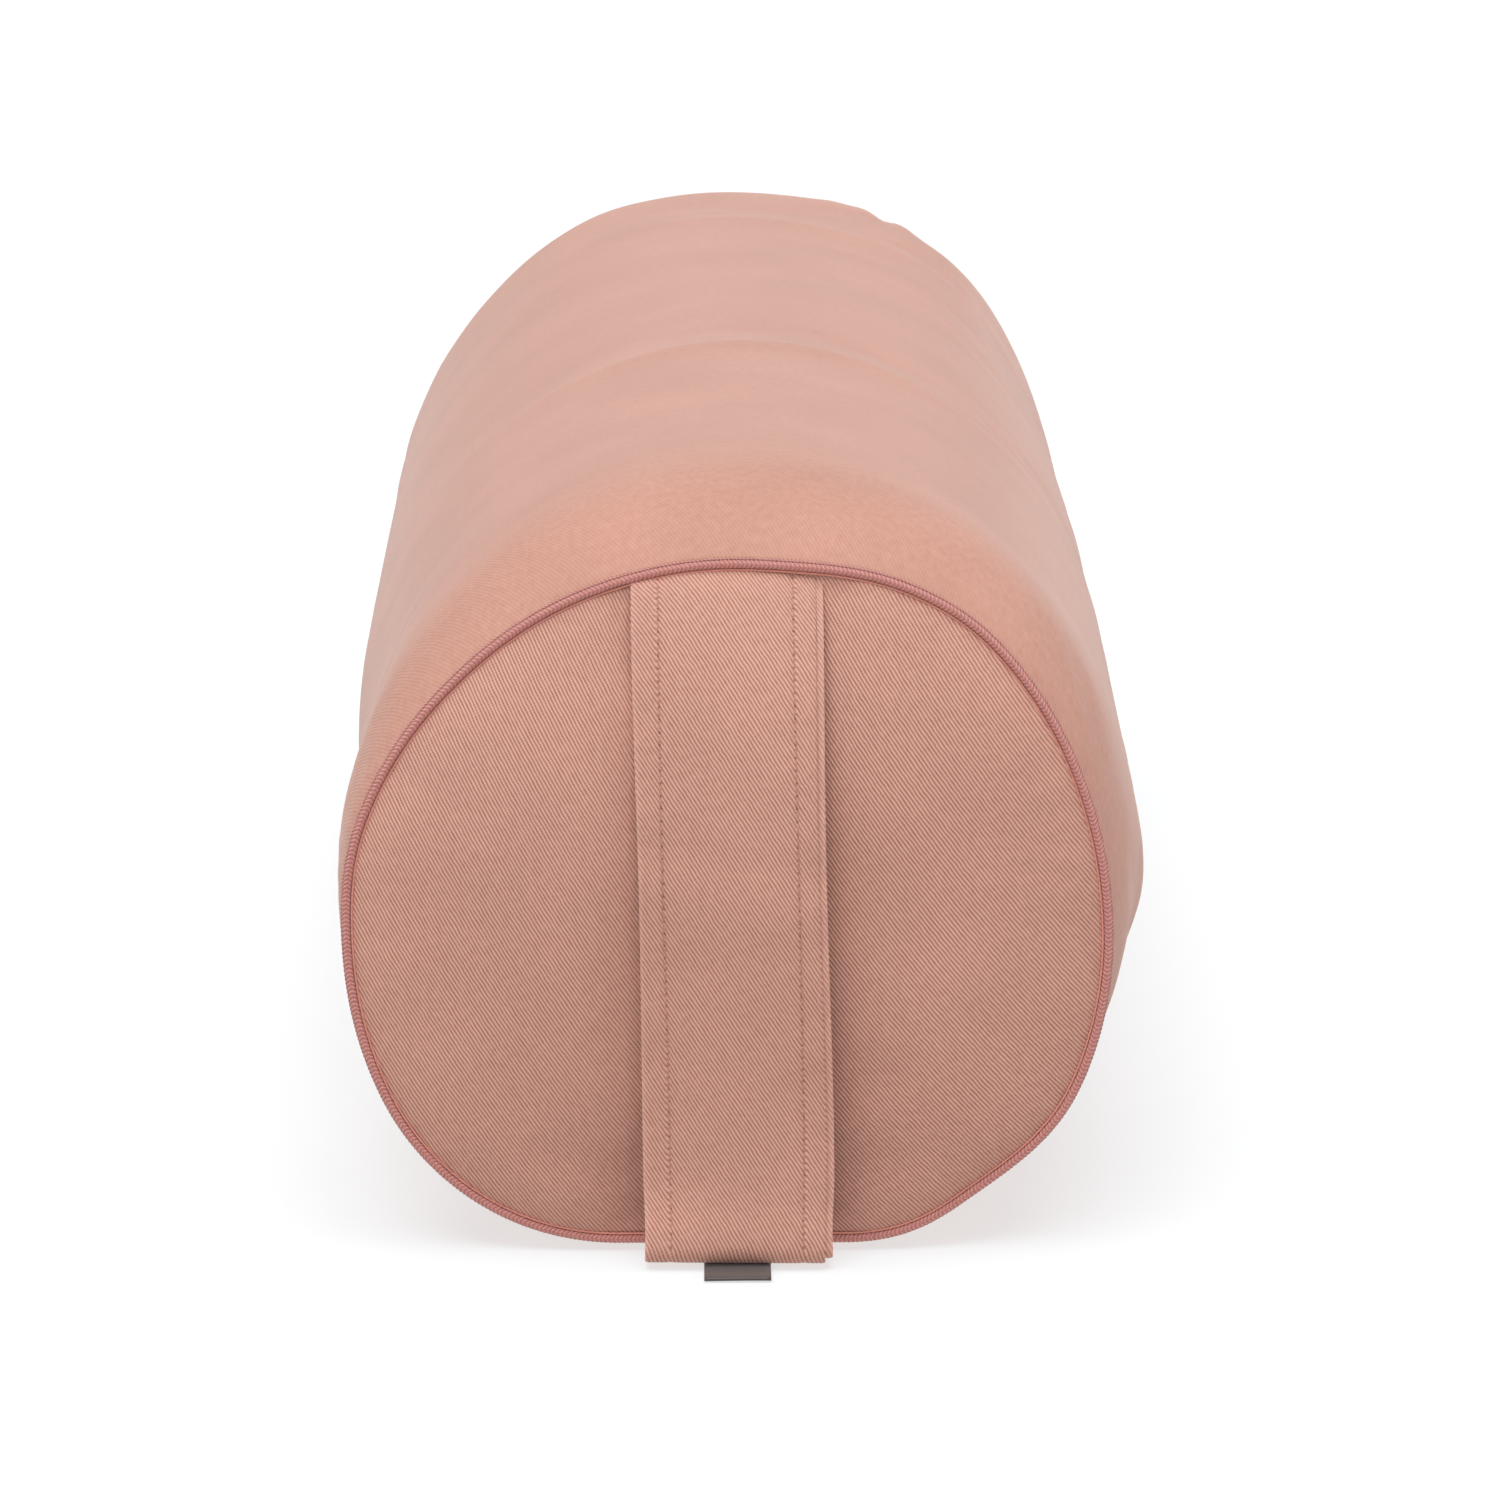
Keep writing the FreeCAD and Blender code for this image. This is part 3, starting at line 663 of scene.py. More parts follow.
def nylon_material(name, light, dark):
    """Smooth nylon filament with a little dust in its grooves."""
    look = Look(name, 0.34, specular=0.5)
    place = look.place()
    fine = look.noise(place, 900, 3)
    wide = look.times(look.noise(place, 45, 2), 0.4)
    look.set("Roughness", look.range(fine, 0.3, 0.7, 0.26, 0.46))
    tone = look.times_add(fine, 0.6, wide)
    return look.coat(look.mix(tone, dark, light), fine, 0.2, 0.05 * MM)


def hull_material(name):
    """Loose grain hulls: overlapping brown flakes."""
    look = Look(name, 0.6, 0.1, specular=0.35)
    cells = look.node("TexVoronoi", Vector=look.place(), Scale=240).node.outputs
    chance = look.node("SeparateColor", cells["Color"])
    shade = look.mix(chance, (0.10, 0.045, 0.02), (0.42, 0.26, 0.13))
    edge = look.range(cells["Distance"], 0.25, 0.75, 1.0, 0.25)
    return look.coat(look.mix(edge, (0.03, 0.014, 0.008), shade), edge, 0.9, 1.2 * MM)


# Needle holes: pitch along the row, where a hole starts, and how dark it is, the darkness
# being painted shade in the hole.
STRAP_HOLES = (3.6 * MM, 0.36, 0.62)
SEAM_HOLES = (1.3 * MM, 0.34, 0.7)
# Light and dark ends of each twill: the cloth's own colour lies between them, the light end is
# painted highlight on the ribs' ridges and the dark end is painted shade in their grooves.
SALMON = (0.66, 0.360, 0.283)
SALMON_DARK = (0.43, 0.183, 0.132)
LIT_RIDGE_YARN = (0.75, 0.415, 0.330)
SHADED_GROOVE_YARN = (0.36, 0.140, 0.100)
PANEL_WALE = (0.80, 0.60)
TUBE_WALE = (0.80, -0.60)
tube_twill = twill_material("twill_tube", SALMON, SALMON_DARK, TUBE_WALE, 0.3, 0.24,
                            seam_rows=(FRONT_Y + 1.7 * MM, BACK_Y - 1.7 * MM),
                            sheen=0.42, sheen_roughness=0.34)
panel_twill = twill_material("twill_panel", LIT_RIDGE_YARN, SHADED_GROOVE_YARN, PANEL_WALE, 0.9, 1.35)
STRAP_WALE = (0.848, 0.530)
STRAP_ROW = 19.3 * MM
strap_twill = twill_material("twill_strap", LIT_RIDGE_YARN, SHADED_GROOVE_YARN, STRAP_WALE, 0.9, 1.3,
                             rows=(-STRAP_ROW, STRAP_ROW))
# The braids' light colours are painted highlight on their ribs and their dark colours painted
# shade in their grooves.
cord_look = braid_material("braided_cord", (0.76, 0.365, 0.32), (0.40, 0.13, 0.115),
                           1.25 * MM, 2, 0.8)
lip_look = braid_material("cord_lip", (0.80, 0.42, 0.365), (0.28, 0.085, 0.07), 1.1 * MM,
                          2, 0.5)
bright_thread = thread_material("bright_thread", (0.80, 0.36, 0.28), (0.58, 0.19, 0.145))
salmon_thread = thread_material("salmon_thread", (0.66, 0.34, 0.26), (0.40, 0.16, 0.11))
tape_look = weave_material("piping_tape_weave", (0.60, 0.24, 0.22), (0.38, 0.12, 0.11),
                           0.6 * MM, 0.6, herringbone=1.6 * MM)
zip_tape_look = weave_material("zip_tape_weave", (0.60, 0.30, 0.25), (0.40, 0.16, 0.125),
                               0.5 * MM, 0.7, herringbone=1.5 * MM)
liner_tape_look = weave_material("liner_tape_weave", (0.82, 0.77, 0.67), (0.6, 0.55, 0.46),
                                 0.5 * MM, 0.7, herringbone=1.2 * MM)
liner_look = weave_material("cambric", (0.84, 0.79, 0.69), (0.62, 0.56, 0.46), 0.55 * MM,
                            0.5)
coil_look = nylon_material("nylon_coil", (0.62, 0.30, 0.25), (0.42, 0.17, 0.14))
liner_coil_look = nylon_material("nylon_coil_pale", (0.85, 0.82, 0.76), (0.7, 0.66, 0.6))
nickel = metal_material("nickel", (0.74, 0.72, 0.70), (0.50, 0.48, 0.46), 0.26, 0.35)
stop_metal = metal_material("pressed_stop", (0.78, 0.77, 0.75), (0.55, 0.53, 0.5), 0.38, 0.6)
label_look = satin_material("label_satin", (0.092, 0.072, 0.069), (0.050, 0.038, 0.036))
care_look = satin_material("care_satin", (0.86, 0.85, 0.83), (0.70, 0.69, 0.67), 0.2)
hulls_look = hull_material("hulls")


# ---------------------------------------------------------------- cloth simulation

SIM_AROUND = 132
SIM_ALONG = 78
SIM_CAP = 9
SIM_FRAMES = 20
SIM_LIMIT = 5 * MM
SIM_CLOTH = {"vertex_group_mass": "pin", "quality": 6, "tension_stiffness": 30,
             "compression_stiffness": 15, "shear_stiffness": 8, "bending_stiffness": 1.2,
             "use_pressure": True, "uniform_pressure_force": 4, "shrink_min": -0.012}


def broad_part(moved, reach):
    """The slow part of the movement, which the shape of the cover already has."""
    spread = np.fft.rfftfreq(SIM_AROUND) * 2 * math.pi * reach
    wave = np.fft.rfft(moved, axis=1) * np.exp(-0.5 * spread ** 2)[None, :, None]
    blurred = np.fft.irfft(wave, SIM_AROUND, axis=1)
    kernel = np.exp(-0.5 * (np.arange(-3 * reach, 3 * reach + 1) / reach) ** 2)
    padded = np.pad(blurred, ((3 * reach, 3 * reach), (0, 0), (0, 0)), mode="reflect")
    total = sum(k * padded[i:i + len(moved)] for i, k in enumerate(kernel))
    return total / kernel.sum()


def sim_pins(points, row_index):
    """How firmly each point is held: at the seams, on the floor and beside the zip."""
    angle = np.degrees(np.arctan2(points[:, 2] - AXIS_Z, points[:, 0]))
    on_base = 1 - smooth(np.abs(turn_between(angle, BASE_ANGLE)), 14, 26)
    from_seam = np.minimum(np.abs(points[:, 1] - FRONT_Y), np.abs(points[:, 1] - BACK_Y))
    at_seam = (row_index == SIM_CAP) | (row_index == SIM_CAP + SIM_ALONG - 1)
    by_zip = 1 - smooth(np.abs(turn_between(angle, COVER_ZIP_ANGLE)), 8, 16)
    in_slot = by_zip * smooth(from_seam, 0.03, 0.05)
    return np.maximum(np.maximum(on_base, in_slot), at_seam.astype(float))


def run_cloth(piece, pins):
    """Runs the pressure simulation on a piece and returns where its points end up."""
    group = piece.vertex_groups.new(name="pin")
    for index, weight in enumerate(pins):
        if weight > 0.01:
            group.add([index], float(weight), "REPLACE")
    cloth = piece.modifiers.new("cloth", "CLOTH")
    for key, value in SIM_CLOTH.items():
        setattr(cloth.settings, key, value)
    cloth.settings.effector_weights.gravity = 0
    cloth.collision_settings.use_collision = False
    cloth.collision_settings.use_self_collision = False
    cloth.point_cache.frame_start = 1
    cloth.point_cache.frame_end = SIM_FRAMES
    scene = bpy.context.scene
    for number in range(1, SIM_FRAMES + 1):
        scene.frame_set(number)
    done = piece.evaluated_get(bpy.context.evaluated_depsgraph_get()).to_mesh()
    blown_up = np.zeros(len(done.vertices) * 3, np.float32)
    done.vertices.foreach_get("co", blown_up)
    scene.frame_set(1)
    bpy.data.objects.remove(piece)
    return blown_up.reshape(-1, 3)


def simulate_cover():
    """Blows up a closed copy of the stuffed cover, held at its seams, along its underside
    and beside its zip. Returns how far each point of the tube and of both ends moved."""
    share = np.arange(SIM_AROUND) / SIM_AROUND
    inward = np.linspace(0, 1, SIM_ALONG)
    y = FRONT_Y + (BACK_Y - FRONT_Y) * (inward - 0.035 * np.sin(4 * math.pi * inward))
    tube = tube_points(*np.meshgrid(share, y), puckers=11)
    scales = 1 - (np.arange(1, SIM_CAP + 1) / (SIM_CAP + 0.5))
    caps = np.meshgrid(share, scales)
    rows = [*end_points(*caps, 1)[::-1], *tube, *end_points(*caps, -1)]
    points = np.concatenate([r.reshape(-1, 3) for r in rows])
    faces = mesh_faces(len(rows), SIM_AROUND, True) + ring_caps(len(rows), SIM_AROUND)
    row_index = np.repeat(np.arange(len(rows)), SIM_AROUND)
    copy = make_object("sim_copy", points, faces)
    moved = run_cloth(copy, sim_pins(points, row_index)) - points
    moved -= moved[row_index == SIM_CAP].mean(0)
    length = np.linalg.norm(moved, axis=1, keepdims=True)
    moved *= SIM_LIMIT * np.tanh(length / SIM_LIMIT) / np.maximum(length, 1e-9)
    moved = moved.reshape(len(rows), SIM_AROUND, 3)
    moved = moved - broad_part(moved, 9)
    print("cloth moved at most %.1f mm, usually %.1f mm"
          % (length.max() / MM, np.median(length) / MM))
    places = np.append(scales[::-1], 1.0)
    return {"tube": (y, moved[SIM_CAP:SIM_CAP + SIM_ALONG]),
            "front": (places, moved[:SIM_CAP + 1]),
            "rear": (places, moved[SIM_CAP + SIM_ALONG - 1:][::-1])}


def resample(result, share, place):
    """Smoothly reads the simulated movement at grids of shares and places."""
    places, moved = result
    row = np.interp(place, places, np.arange(len(places)))
    column = share * moved.shape[1]

    def weights(t):
        return (-0.5 * t + t ** 2 - 0.5 * t ** 3, 1 - 2.5 * t ** 2 + 1.5 * t ** 3,
                0.5 * t + 2 * t ** 2 - 1.5 * t ** 3, -0.5 * t ** 2 + 0.5 * t ** 3)

    row_low = np.floor(row).astype(int)
    column_low = np.floor(column).astype(int)
    total = 0
    for i, row_weight in enumerate(weights(row - row_low)):
        at_row = np.clip(row_low + i - 1, 0, len(places) - 1)
        for j, column_weight in enumerate(weights(column - column_low)):
            at_column = (column_low + j - 1) % moved.shape[1]
            total = total + (row_weight * column_weight)[..., None] * moved[at_row,
                                                                             at_column]
    return total


blown = simulate_cover()
SIM_SHARE = 0.35            # share of the simulated movement that the cover takes


# ---------------------------------------------------------------- cover pieces

def end_rows():
    """Distances from a seam at which the tube's grid has rows, close together near it."""
    close = [0, 0.3, 0.7, 1.2, 1.9, 2.8, 4, 5.5, 7.3, 9.5, 12, 15, 18.3, 22, 26]
    return np.array(close) * MM


def rows_along(start, slot_length, spacing):
    near = end_rows() + start
    inner = np.arange(near[-1] + spacing, BACK_Y - near[-1] - spacing / 2 - FRONT_Y,
                      spacing)
    y = np.concatenate([FRONT_Y + near, FRONT_Y + inner, BACK_Y - near[::-1]])
    for edge in (-slot_length / 2, slot_length / 2):
        y[np.argmin(np.abs(y - edge))] = edge
    return np.unique(y)


def columns_round(count, zip_angle, slot_width, radius):
    share = np.linspace(0, 1, count + 1)
    edges = sorted(share_of(zip_angle, side * slot_width / 2, radius) for side in (-1, 1))
    near = []
    for edge, side in zip(edges, (-1, 1)):
        near += [edge + side * d * MM / CLOTH_ROUND for d in (0.0, 0.25, 0.6, 1.2)]
    far = np.min(np.abs(share[:, None] - np.array(near)[None]), 1) > 0.0006
    return np.unique(np.concatenate([share[far], near])), edges


def slotted_tube(name, count, spacing, zip_angle, slot_size, radius, start=0.0,
                 roll=0.45 * MM, sim=None, **layer):
    """A layer of the tube with its zip slot. Also returns its points and their rows."""
    share, edges = columns_round(count, zip_angle, slot_size[0], radius)
    y = rows_along(start, slot_size[1], spacing)
    grid_share, grid_y = np.meshgrid(share, y)
    off = np.minimum(np.abs(grid_share - edges[0]), np.abs(grid_share - edges[1]))
    off = off * CLOTH_ROUND
    off_end = np.maximum(np.abs(grid_y) - slot_size[1] / 2, 0)
    rolled = -roll * bump(off, 0, 0.45 * MM) * bump(off_end, 0, MM)
    points = tube_points(grid_share, grid_y, extra=rolled, **layer)
    if sim is not None:
        inward = np.minimum(grid_y - FRONT_Y, BACK_Y - grid_y)
        settled = resample(sim, grid_share, grid_y)
        points = points + settled * SIM_SHARE * smooth(inward, 0.0, 0.03)[..., None]
    points[..., 2] = np.maximum(points[..., 2], layer.get("base_gap", 0.0))
    middle_share = (share[1:] + share[:-1]) / 2
    middle_y = (y[1:] + y[:-1]) / 2
    in_columns = (middle_share > edges[0]) & (middle_share < edges[1])
    in_rows = np.abs(middle_y) < slot_size[1] / 2
    skip = in_rows[:, None] & in_columns[None]
    piece = make_object(name, points, mesh_faces(len(y), len(share), skip=skip))
    add_cloth(piece, np.stack([grid_share * CLOTH_ROUND, grid_y], -1),
              0.5 * np.exp(-off / (1.2 * MM)) * (np.abs(grid_y) < slot_size[1] / 2 + MM))
    return piece, points, y


def tuck_seams(piece, points, y):
    """Turns both ends of the tube's cloth in, where they run into their seams."""
    inward = np.minimum(y - FRONT_Y, BACK_Y - y)
    depth = -1.5 * MM * bump(inward, 0, 1.1 * MM)
    spoke = (points - [0, 0, SEAM_MID_Z]) * [1, 0, 1]
    points += normalised(spoke) * depth[:, None, None]
    piece.data.vertices.foreach_set("co", points.reshape(-1).astype(np.float32))
    piece.data.update()


body, body_points, body_y = slotted_tube(
    "cover_tube", 372, 3.9 * MM, COVER_ZIP_ANGLE, COVER_SLOT, TUBE_WIDTH / 2,
    puckers=11, sim=blown.get("tube"))
tuck_seams(body, body_points, body_y)
thicken(body, CLOTH)
dress(body, tube_twill, "cover", ("body_panel",))


RIM_STEPS = ((RIM_DEPTH, RIM_GAP), (RIM_DEPTH / 2, RIM_GAP), (1.2 * MM, RIM_GAP),
             (0.2 * MM, 1.7 * MM))


def end_panel(name, end, replaced, sim):
    """A crowned end panel with its seam allowance turned back into the tube."""
    share = np.linspace(0, 1, 361)
    scale = np.concatenate([[1.0, 0.996, 0.990, 0.981, 0.969],
                            np.linspace(0.955, 0.02, 62)])
    grid_share, grid_scale = np.meshgrid(share, scale)
    from_rim = 1 - grid_scale
    generator = np.random.default_rng(23 if end > 0 else 29)
    gathers = waves(grid_share, 30, 80, 6, generator) * 0.16 * MM
    gathers = gathers * np.exp(-from_rim / 0.05) * smooth(from_rim, 0, 0.02)
    broad = waves(grid_share, 8, 22, 4, generator) * 0.5 * MM
    broad = broad * np.exp(-from_rim / 0.16) * smooth(from_rim, 0, 0.07)
    tucked = -0.5 * MM * bump(from_rim, 0, 0.009)
    points = end_points(grid_share, grid_scale, end, extra=gathers + broad + tucked)
    if sim is not None:
        settled = resample(sim, grid_share, grid_scale) * SIM_SHARE
        points = points + settled * smooth(from_rim, 0.0, 0.05)[..., None]
    inside = [seam_ring(share, end, gap, inward)[0] for inward, gap in RIM_STEPS]
    points = np.concatenate([np.array(inside), points])[:, :-1]
    piece, flat = crowned_mesh(name, points, end, closed=True)
    across = end * flat[:, 0]
    height = flat[:, 2] - SEAM_MID_Z
    # The stuffing stretches the cloth, which turns its ribs.
    pulled_x = 1.04 * across - 0.30 * across ** 2
    pulled_height = 0.95 * height + 1.1 * across * height - 0.6 * height ** 2
    add_cloth(piece, np.stack([pulled_x, pulled_height], -1))
    thicken(piece, 0.8 * MM)
    dress(piece, panel_twill, "cover", (replaced,))


end_panel("cover_front_panel", 1, "front_end_panel", blown.get("front"))
end_panel("cover_rear_panel", -1, "rear_end_panel", blown.get("rear"))


# ---------------------------------------------------------------- piping

def ring_cord(name, end, outside, forward, radius, steps, sides, look,
              replaced=(), rib=0.0, rib_pitch=1.5 * MM, columns=4):
    """Round cord that follows a seam, with the ribs of its braid in its surface."""
    share = np.linspace(0, 1, steps + 1)
    line, out = seam_ring(share, end, inward=-forward, outside=outside)
    line[:, 2] = np.maximum(line[:, 2], radius + 0.2 * MM)
    run = np.concatenate([[0], np.cumsum(np.linalg.norm(np.diff(line, axis=0), axis=1))])
    turn = np.linspace(0, 1, sides + 1)
    grid_run, grid_turn = np.meshgrid(run, turn, indexing="ij")
    fold = 0.5 - np.abs((grid_turn * columns) % 1 - 0.5)
    phase = (grid_run / rib_pitch + 1.5 * fold) % 1
    ribs = rib * (1 - 2 * np.abs(phase - 0.5)) - rib / 2
    lumps = 0.02 * radius * np.sin(grid_run * 900) * np.sin(grid_run * 233 + 1)
    size = (radius + ribs + lumps)[..., None]
    circle = 2 * math.pi * grid_turn[..., None]
    points = line[:, None] + size * (np.cos(circle) * out[:, None]
                                     + np.sin(circle) * np.array([0, 1.0, 0]))
    piece = make_object(name, points, mesh_faces(steps + 1, sides + 1, flip=True))
    add_cloth(piece, np.stack([grid_run, grid_turn], -1))
    return dress(piece, look, "cover", replaced)


for end, word in ((1, "front"), (-1, "rear")):
    ring_cord(word + "_cord", end, 0.45 * MM, 1.05 * MM, 1.15 * MM, 2300, 16, cord_look,
              (word + "_piping_cord",), rib=0.2 * MM, rib_pitch=1.25 * MM,
              columns=2)
    ring_cord(word + "_cord_lip", end, 1.62 * MM, -0.55 * MM, 0.50 * MM, 2000, 8, lip_look,
              rib=0.22 * MM, rib_pitch=1.3 * MM, columns=1)
    ring_cord(word + "_seam_thread", end, -1.15 * MM, 1.15 * MM, 0.34 * MM, 1400, 6,
              bright_thread, rib=0.05 * MM, rib_pitch=2.4 * MM, columns=1)


def seam_tape(name, end, replaced):
    """Woven tape that lies round a seam inside the tube and holds the cord."""
    share = np.linspace(0, 1, 361)
    inward = np.linspace(0.3 * MM, 6.9 * MM, 8)
    points = np.array([seam_ring(share, end, TAPE_GAP, step)[0] for step in inward])
    faces = mesh_faces(*points.shape[:2])
    piece = make_object(name, points, turned(faces) if end < 0 else faces)
    grid_share, grid_in = np.meshgrid(share * SEAM_ROUND, inward)
    add_cloth(piece, np.stack([grid_in, grid_share], -1))
    thicken(piece, TAPE_THICK)
    dress(piece, tape_look, "cover", replaced)


for end, word in ((1, "front"), (-1, "rear")):
    seam_tape(word + "_tape", end, (word + "_piping_tape",))


# ---------------------------------------------------------------- stitches

THREAD_SIDES = 6
SEAM_STITCHES = 112


def stitch_mesh(name, places, length, radius, height):
    """Small thread loops that rise out of the cloth and dive back into it. places holds,
    for each one, its middle, its direction and the cloth's outward direction."""
    stations = np.array([-1, -0.82, -0.45, 0, 0.45, 0.82, 1])
    size = np.array([0.35, 0.85, 1, 1, 1, 0.85, 0.35]) * radius
    rise = height * (1 - stations ** 4) - 0.25 * radius
    turns = np.arange(THREAD_SIDES) / THREAD_SIDES * 2 * math.pi
    one = mesh_faces(len(stations), THREAD_SIDES, closed=True, flip=True)
    one += turned(ring_caps(len(stations), THREAD_SIDES))
    points, faces = [], []
    for middle, along, out in places:
        side = np.cross(out, along)
        faces += [[len(points) + corner for corner in face] for face in one]
        for t, r, h in zip(stations, size, rise):
            centre = middle + along * (t * length / 2) + out * h
            points += [centre + r * (math.cos(turn) * side + math.sin(turn) * out)
                       for turn in turns]
    return make_object(name, np.array(points), faces)


for end, word in ((1, "front"), (-1, "rear")):
    share = (np.arange(SEAM_STITCHES) + 0.5) / SEAM_STITCHES
    here, _ = seam_ring(share, end, 3.15 * MM, RIM_DEPTH / 2)
    ahead, out = seam_ring(share + 1e-3, end, 3.15 * MM, RIM_DEPTH / 2)
    piece = stitch_mesh(word + "_seam_stitches",
                        list(zip(here, normalised(ahead - here), -out)),
                        4.4 * MM, 0.3 * MM, 0.2 * MM)
    dress(piece, salmon_thread, "cover", (word + "_seam_stitching",))


def zip_rows(name, zip_angle, slot_size, row_out, radius, look, replaced, pitch=3.6 * MM):
    """Two stitch rows that hold a zip, one on each side of its slot."""
    row_end = slot_size[1] / 2
    count = int(2 * row_end / pitch)
    places = []
    for side in (-1, 1):
        turned = math.radians(zip_angle) + side * (slot_size[0] / 2 + row_out) / radius
        out = np.array([math.cos(turned), 0, math.sin(turned)])
        for i in range(count):
            y = -row_end + (i + 0.5) * pitch
            middle = np.array([0, y, AXIS_Z]) + out * radius
            places.append((middle, np.array([0, 1.0, 0]), out))
    piece = stitch_mesh(name, places, 2.7 * MM, 0.26 * MM, 0.16 * MM)
    return dress(piece, look, "cover", replaced)


zip_rows("cover_zip_stitches", COVER_ZIP_ANGLE, COVER_SLOT, 3 * MM, TUBE_WIDTH / 2,
         salmon_thread, ("cover_zip_stitching",))
LINER_RADIUS = TUBE_WIDTH / 2 - LINER_GAP
pale_thread = thread_material("pale_thread", (0.85, 0.8, 0.7), (0.6, 0.55, 0.45))
zip_rows("liner_zip_stitches", LINER_ZIP_ANGLE, LINER_SLOT, 2 * MM, LINER_RADIUS,
         pale_thread, ("liner_zip_stitching",))


# ---------------------------------------------------------------- zips

COIL_PITCH = 2.5 * MM
COIL_STEPS = 14             # points in each loop


def zip_frame(angle):
    """Directions across a zip and out of the tube."""
    turned = math.radians(angle)
    out = np.array([math.cos(turned), 0, math.sin(turned)])
    across = np.array([math.sin(turned), 0, -math.cos(turned)])
    return across, out


def tape(name, zip_angle, side, radius, thick, x_from, x_to, y_half, look,
         replaced):
    """Woven zip tape, with a thicker bead along its inner edge and a slight ripple."""
    across = np.array([x_from, x_from + 0.3 * MM, x_from + 0.8 * MM, x_from + 1.5 * MM,
                       *np.linspace(x_from + 2.5 * MM, x_to, 8)])
    y = np.linspace(-y_half, y_half, int(2 * y_half / (2.2 * MM)))
    grid_x, grid_y = np.meshgrid(across, y)
    lift = -0.11 * MM * smooth(grid_x, x_to - 5 * MM, x_to) * (1 + np.sin(grid_y * 260))
    bead = 0.08 * MM * bump(grid_x, x_from + 0.8 * MM, 0.6 * MM)
    turn = math.radians(zip_angle) - side * grid_x / radius
    r = radius + lift + bead - 0.12 * MM
    points = np.stack([r * np.cos(turn), grid_y, AXIS_Z + r * np.sin(turn)], -1)
    faces = mesh_faces(len(y), len(across))
    piece = make_object(name, points, turned(faces) if side > 0 else faces)
    add_cloth(piece, np.stack([grid_x, grid_y], -1))
    thicken(piece, thick - 0.1 * MM)
    return dress(piece, look, "cover", replaced)


def coil(name, zip_angle, side, low, height, reach, y_half, wire, look,
         replaced):
    """Nylon coil: a flattened spiral whose loops lock past the middle line."""
    across, out = zip_frame(zip_angle)
    count = int(2 * y_half / COIL_PITCH)
    t = np.arange(count * COIL_STEPS + 1) / COIL_STEPS
    turn = 2 * math.pi * t
    swing = np.cos(turn)
    flat = np.sign(swing) * np.abs(swing) ** 0.75
    middle_x = reach * (1 - 0.26) / 2
    half_x = reach * (1 + 0.22) / 2 - wire
    x = side * (middle_x - half_x * flat)
    y = COIL_PITCH * (t + 0.16 * np.sin(turn) + (0 if side > 0 else 0.5)) - y_half
    up = low + height / 2 + (height / 2 - wire) * np.sin(turn)
    along = np.array([0, 1.0, 0])
    line = x[:, None] * across + up[:, None] * out + y[:, None] * along + [0, 0, AXIS_Z]
    tangent = normalised(np.gradient(line, axis=0))
    side_way = normalised(np.cross(tangent, along))
    up_way = np.cross(side_way, tangent)
    rounds = (np.arange(THREAD_SIDES) / THREAD_SIDES * 2 * math.pi)[None, :, None]
    points = line[:, None] + wire * (np.cos(rounds) * side_way[:, None]
                                     + np.sin(rounds) * up_way[:, None])
    piece = make_object(name, points, mesh_faces(len(line), THREAD_SIDES, closed=True))
    return dress(piece, look, "cover", replaced)


def build_zip(prefix, angle, radius, cloth, tape_thick, tape_gap, tape_width, length,
              coil_height, reach, wire, tape_material, coil_material):
    tape_radius = radius - cloth - 0.3 * MM
    above = -1 if math.cos(math.radians(angle)) > 0 else 1
    for side, word in ((above, "upper"), (-above, "lower")):
        tape(prefix + "_tape_" + word + "_cloth", angle, side, tape_radius, tape_thick,
             tape_gap, tape_width, length / 2 + 16 * MM, tape_material,
             (prefix + "_tape_" + word,))
        coil(prefix + "_spiral_" + word, angle, side, tape_radius, coil_height, reach,
             length / 2, wire, coil_material, (prefix + "_coil_" + word,))


build_zip("cover_zip", COVER_ZIP_ANGLE, TUBE_WIDTH / 2, CLOTH, 0.6 * MM, 1.0 * MM, 15 * MM,
          500 * MM, 2.2 * MM, 3.0 * MM, 0.42 * MM, zip_tape_look, coil_look)
build_zip("liner_zip", LINER_ZIP_ANGLE, LINER_RADIUS, LINER_CLOTH, 0.4 * MM, 0.8 * MM,
          11 * MM, 420 * MM, 1.3 * MM, 2.2 * MM, 0.3 * MM, liner_tape_look,
          liner_coil_look)

for node, look in (("cover_zip_slider", nickel), ("cover_zip_pull", nickel),
                   ("liner_zip_slider", nickel), ("cover_zip_top_stops", stop_metal),
                   ("cover_zip_bottom_stop", stop_metal), ("liner_zip_top_stops", stop_metal),
                   ("liner_zip_bottom_stop", stop_metal)):
    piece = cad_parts[node]
    piece.data.materials.clear()
    piece.data.materials.append(look)
    rounding = piece.modifiers.new("edges", "BEVEL")
    rounding.width = 0.22 * MM
    rounding.segments = 3
    rounding.limit_method = "ANGLE"
    rounding.angle_limit = math.radians(40)


# ---------------------------------------------------------------- liner and filling

liner, _, _ = slotted_tube(
    "liner_tube_cloth", 240, 6 * MM, LINER_ZIP_ANGLE, LINER_SLOT, LINER_RADIUS,
    gap=LINER_GAP, base_gap=LINER_BASE, start=LINER_SHORT, roll=0.2 * MM)
thicken(liner, LINER_CLOTH)
dress(liner, liner_look, "cover", ("liner_tube",))


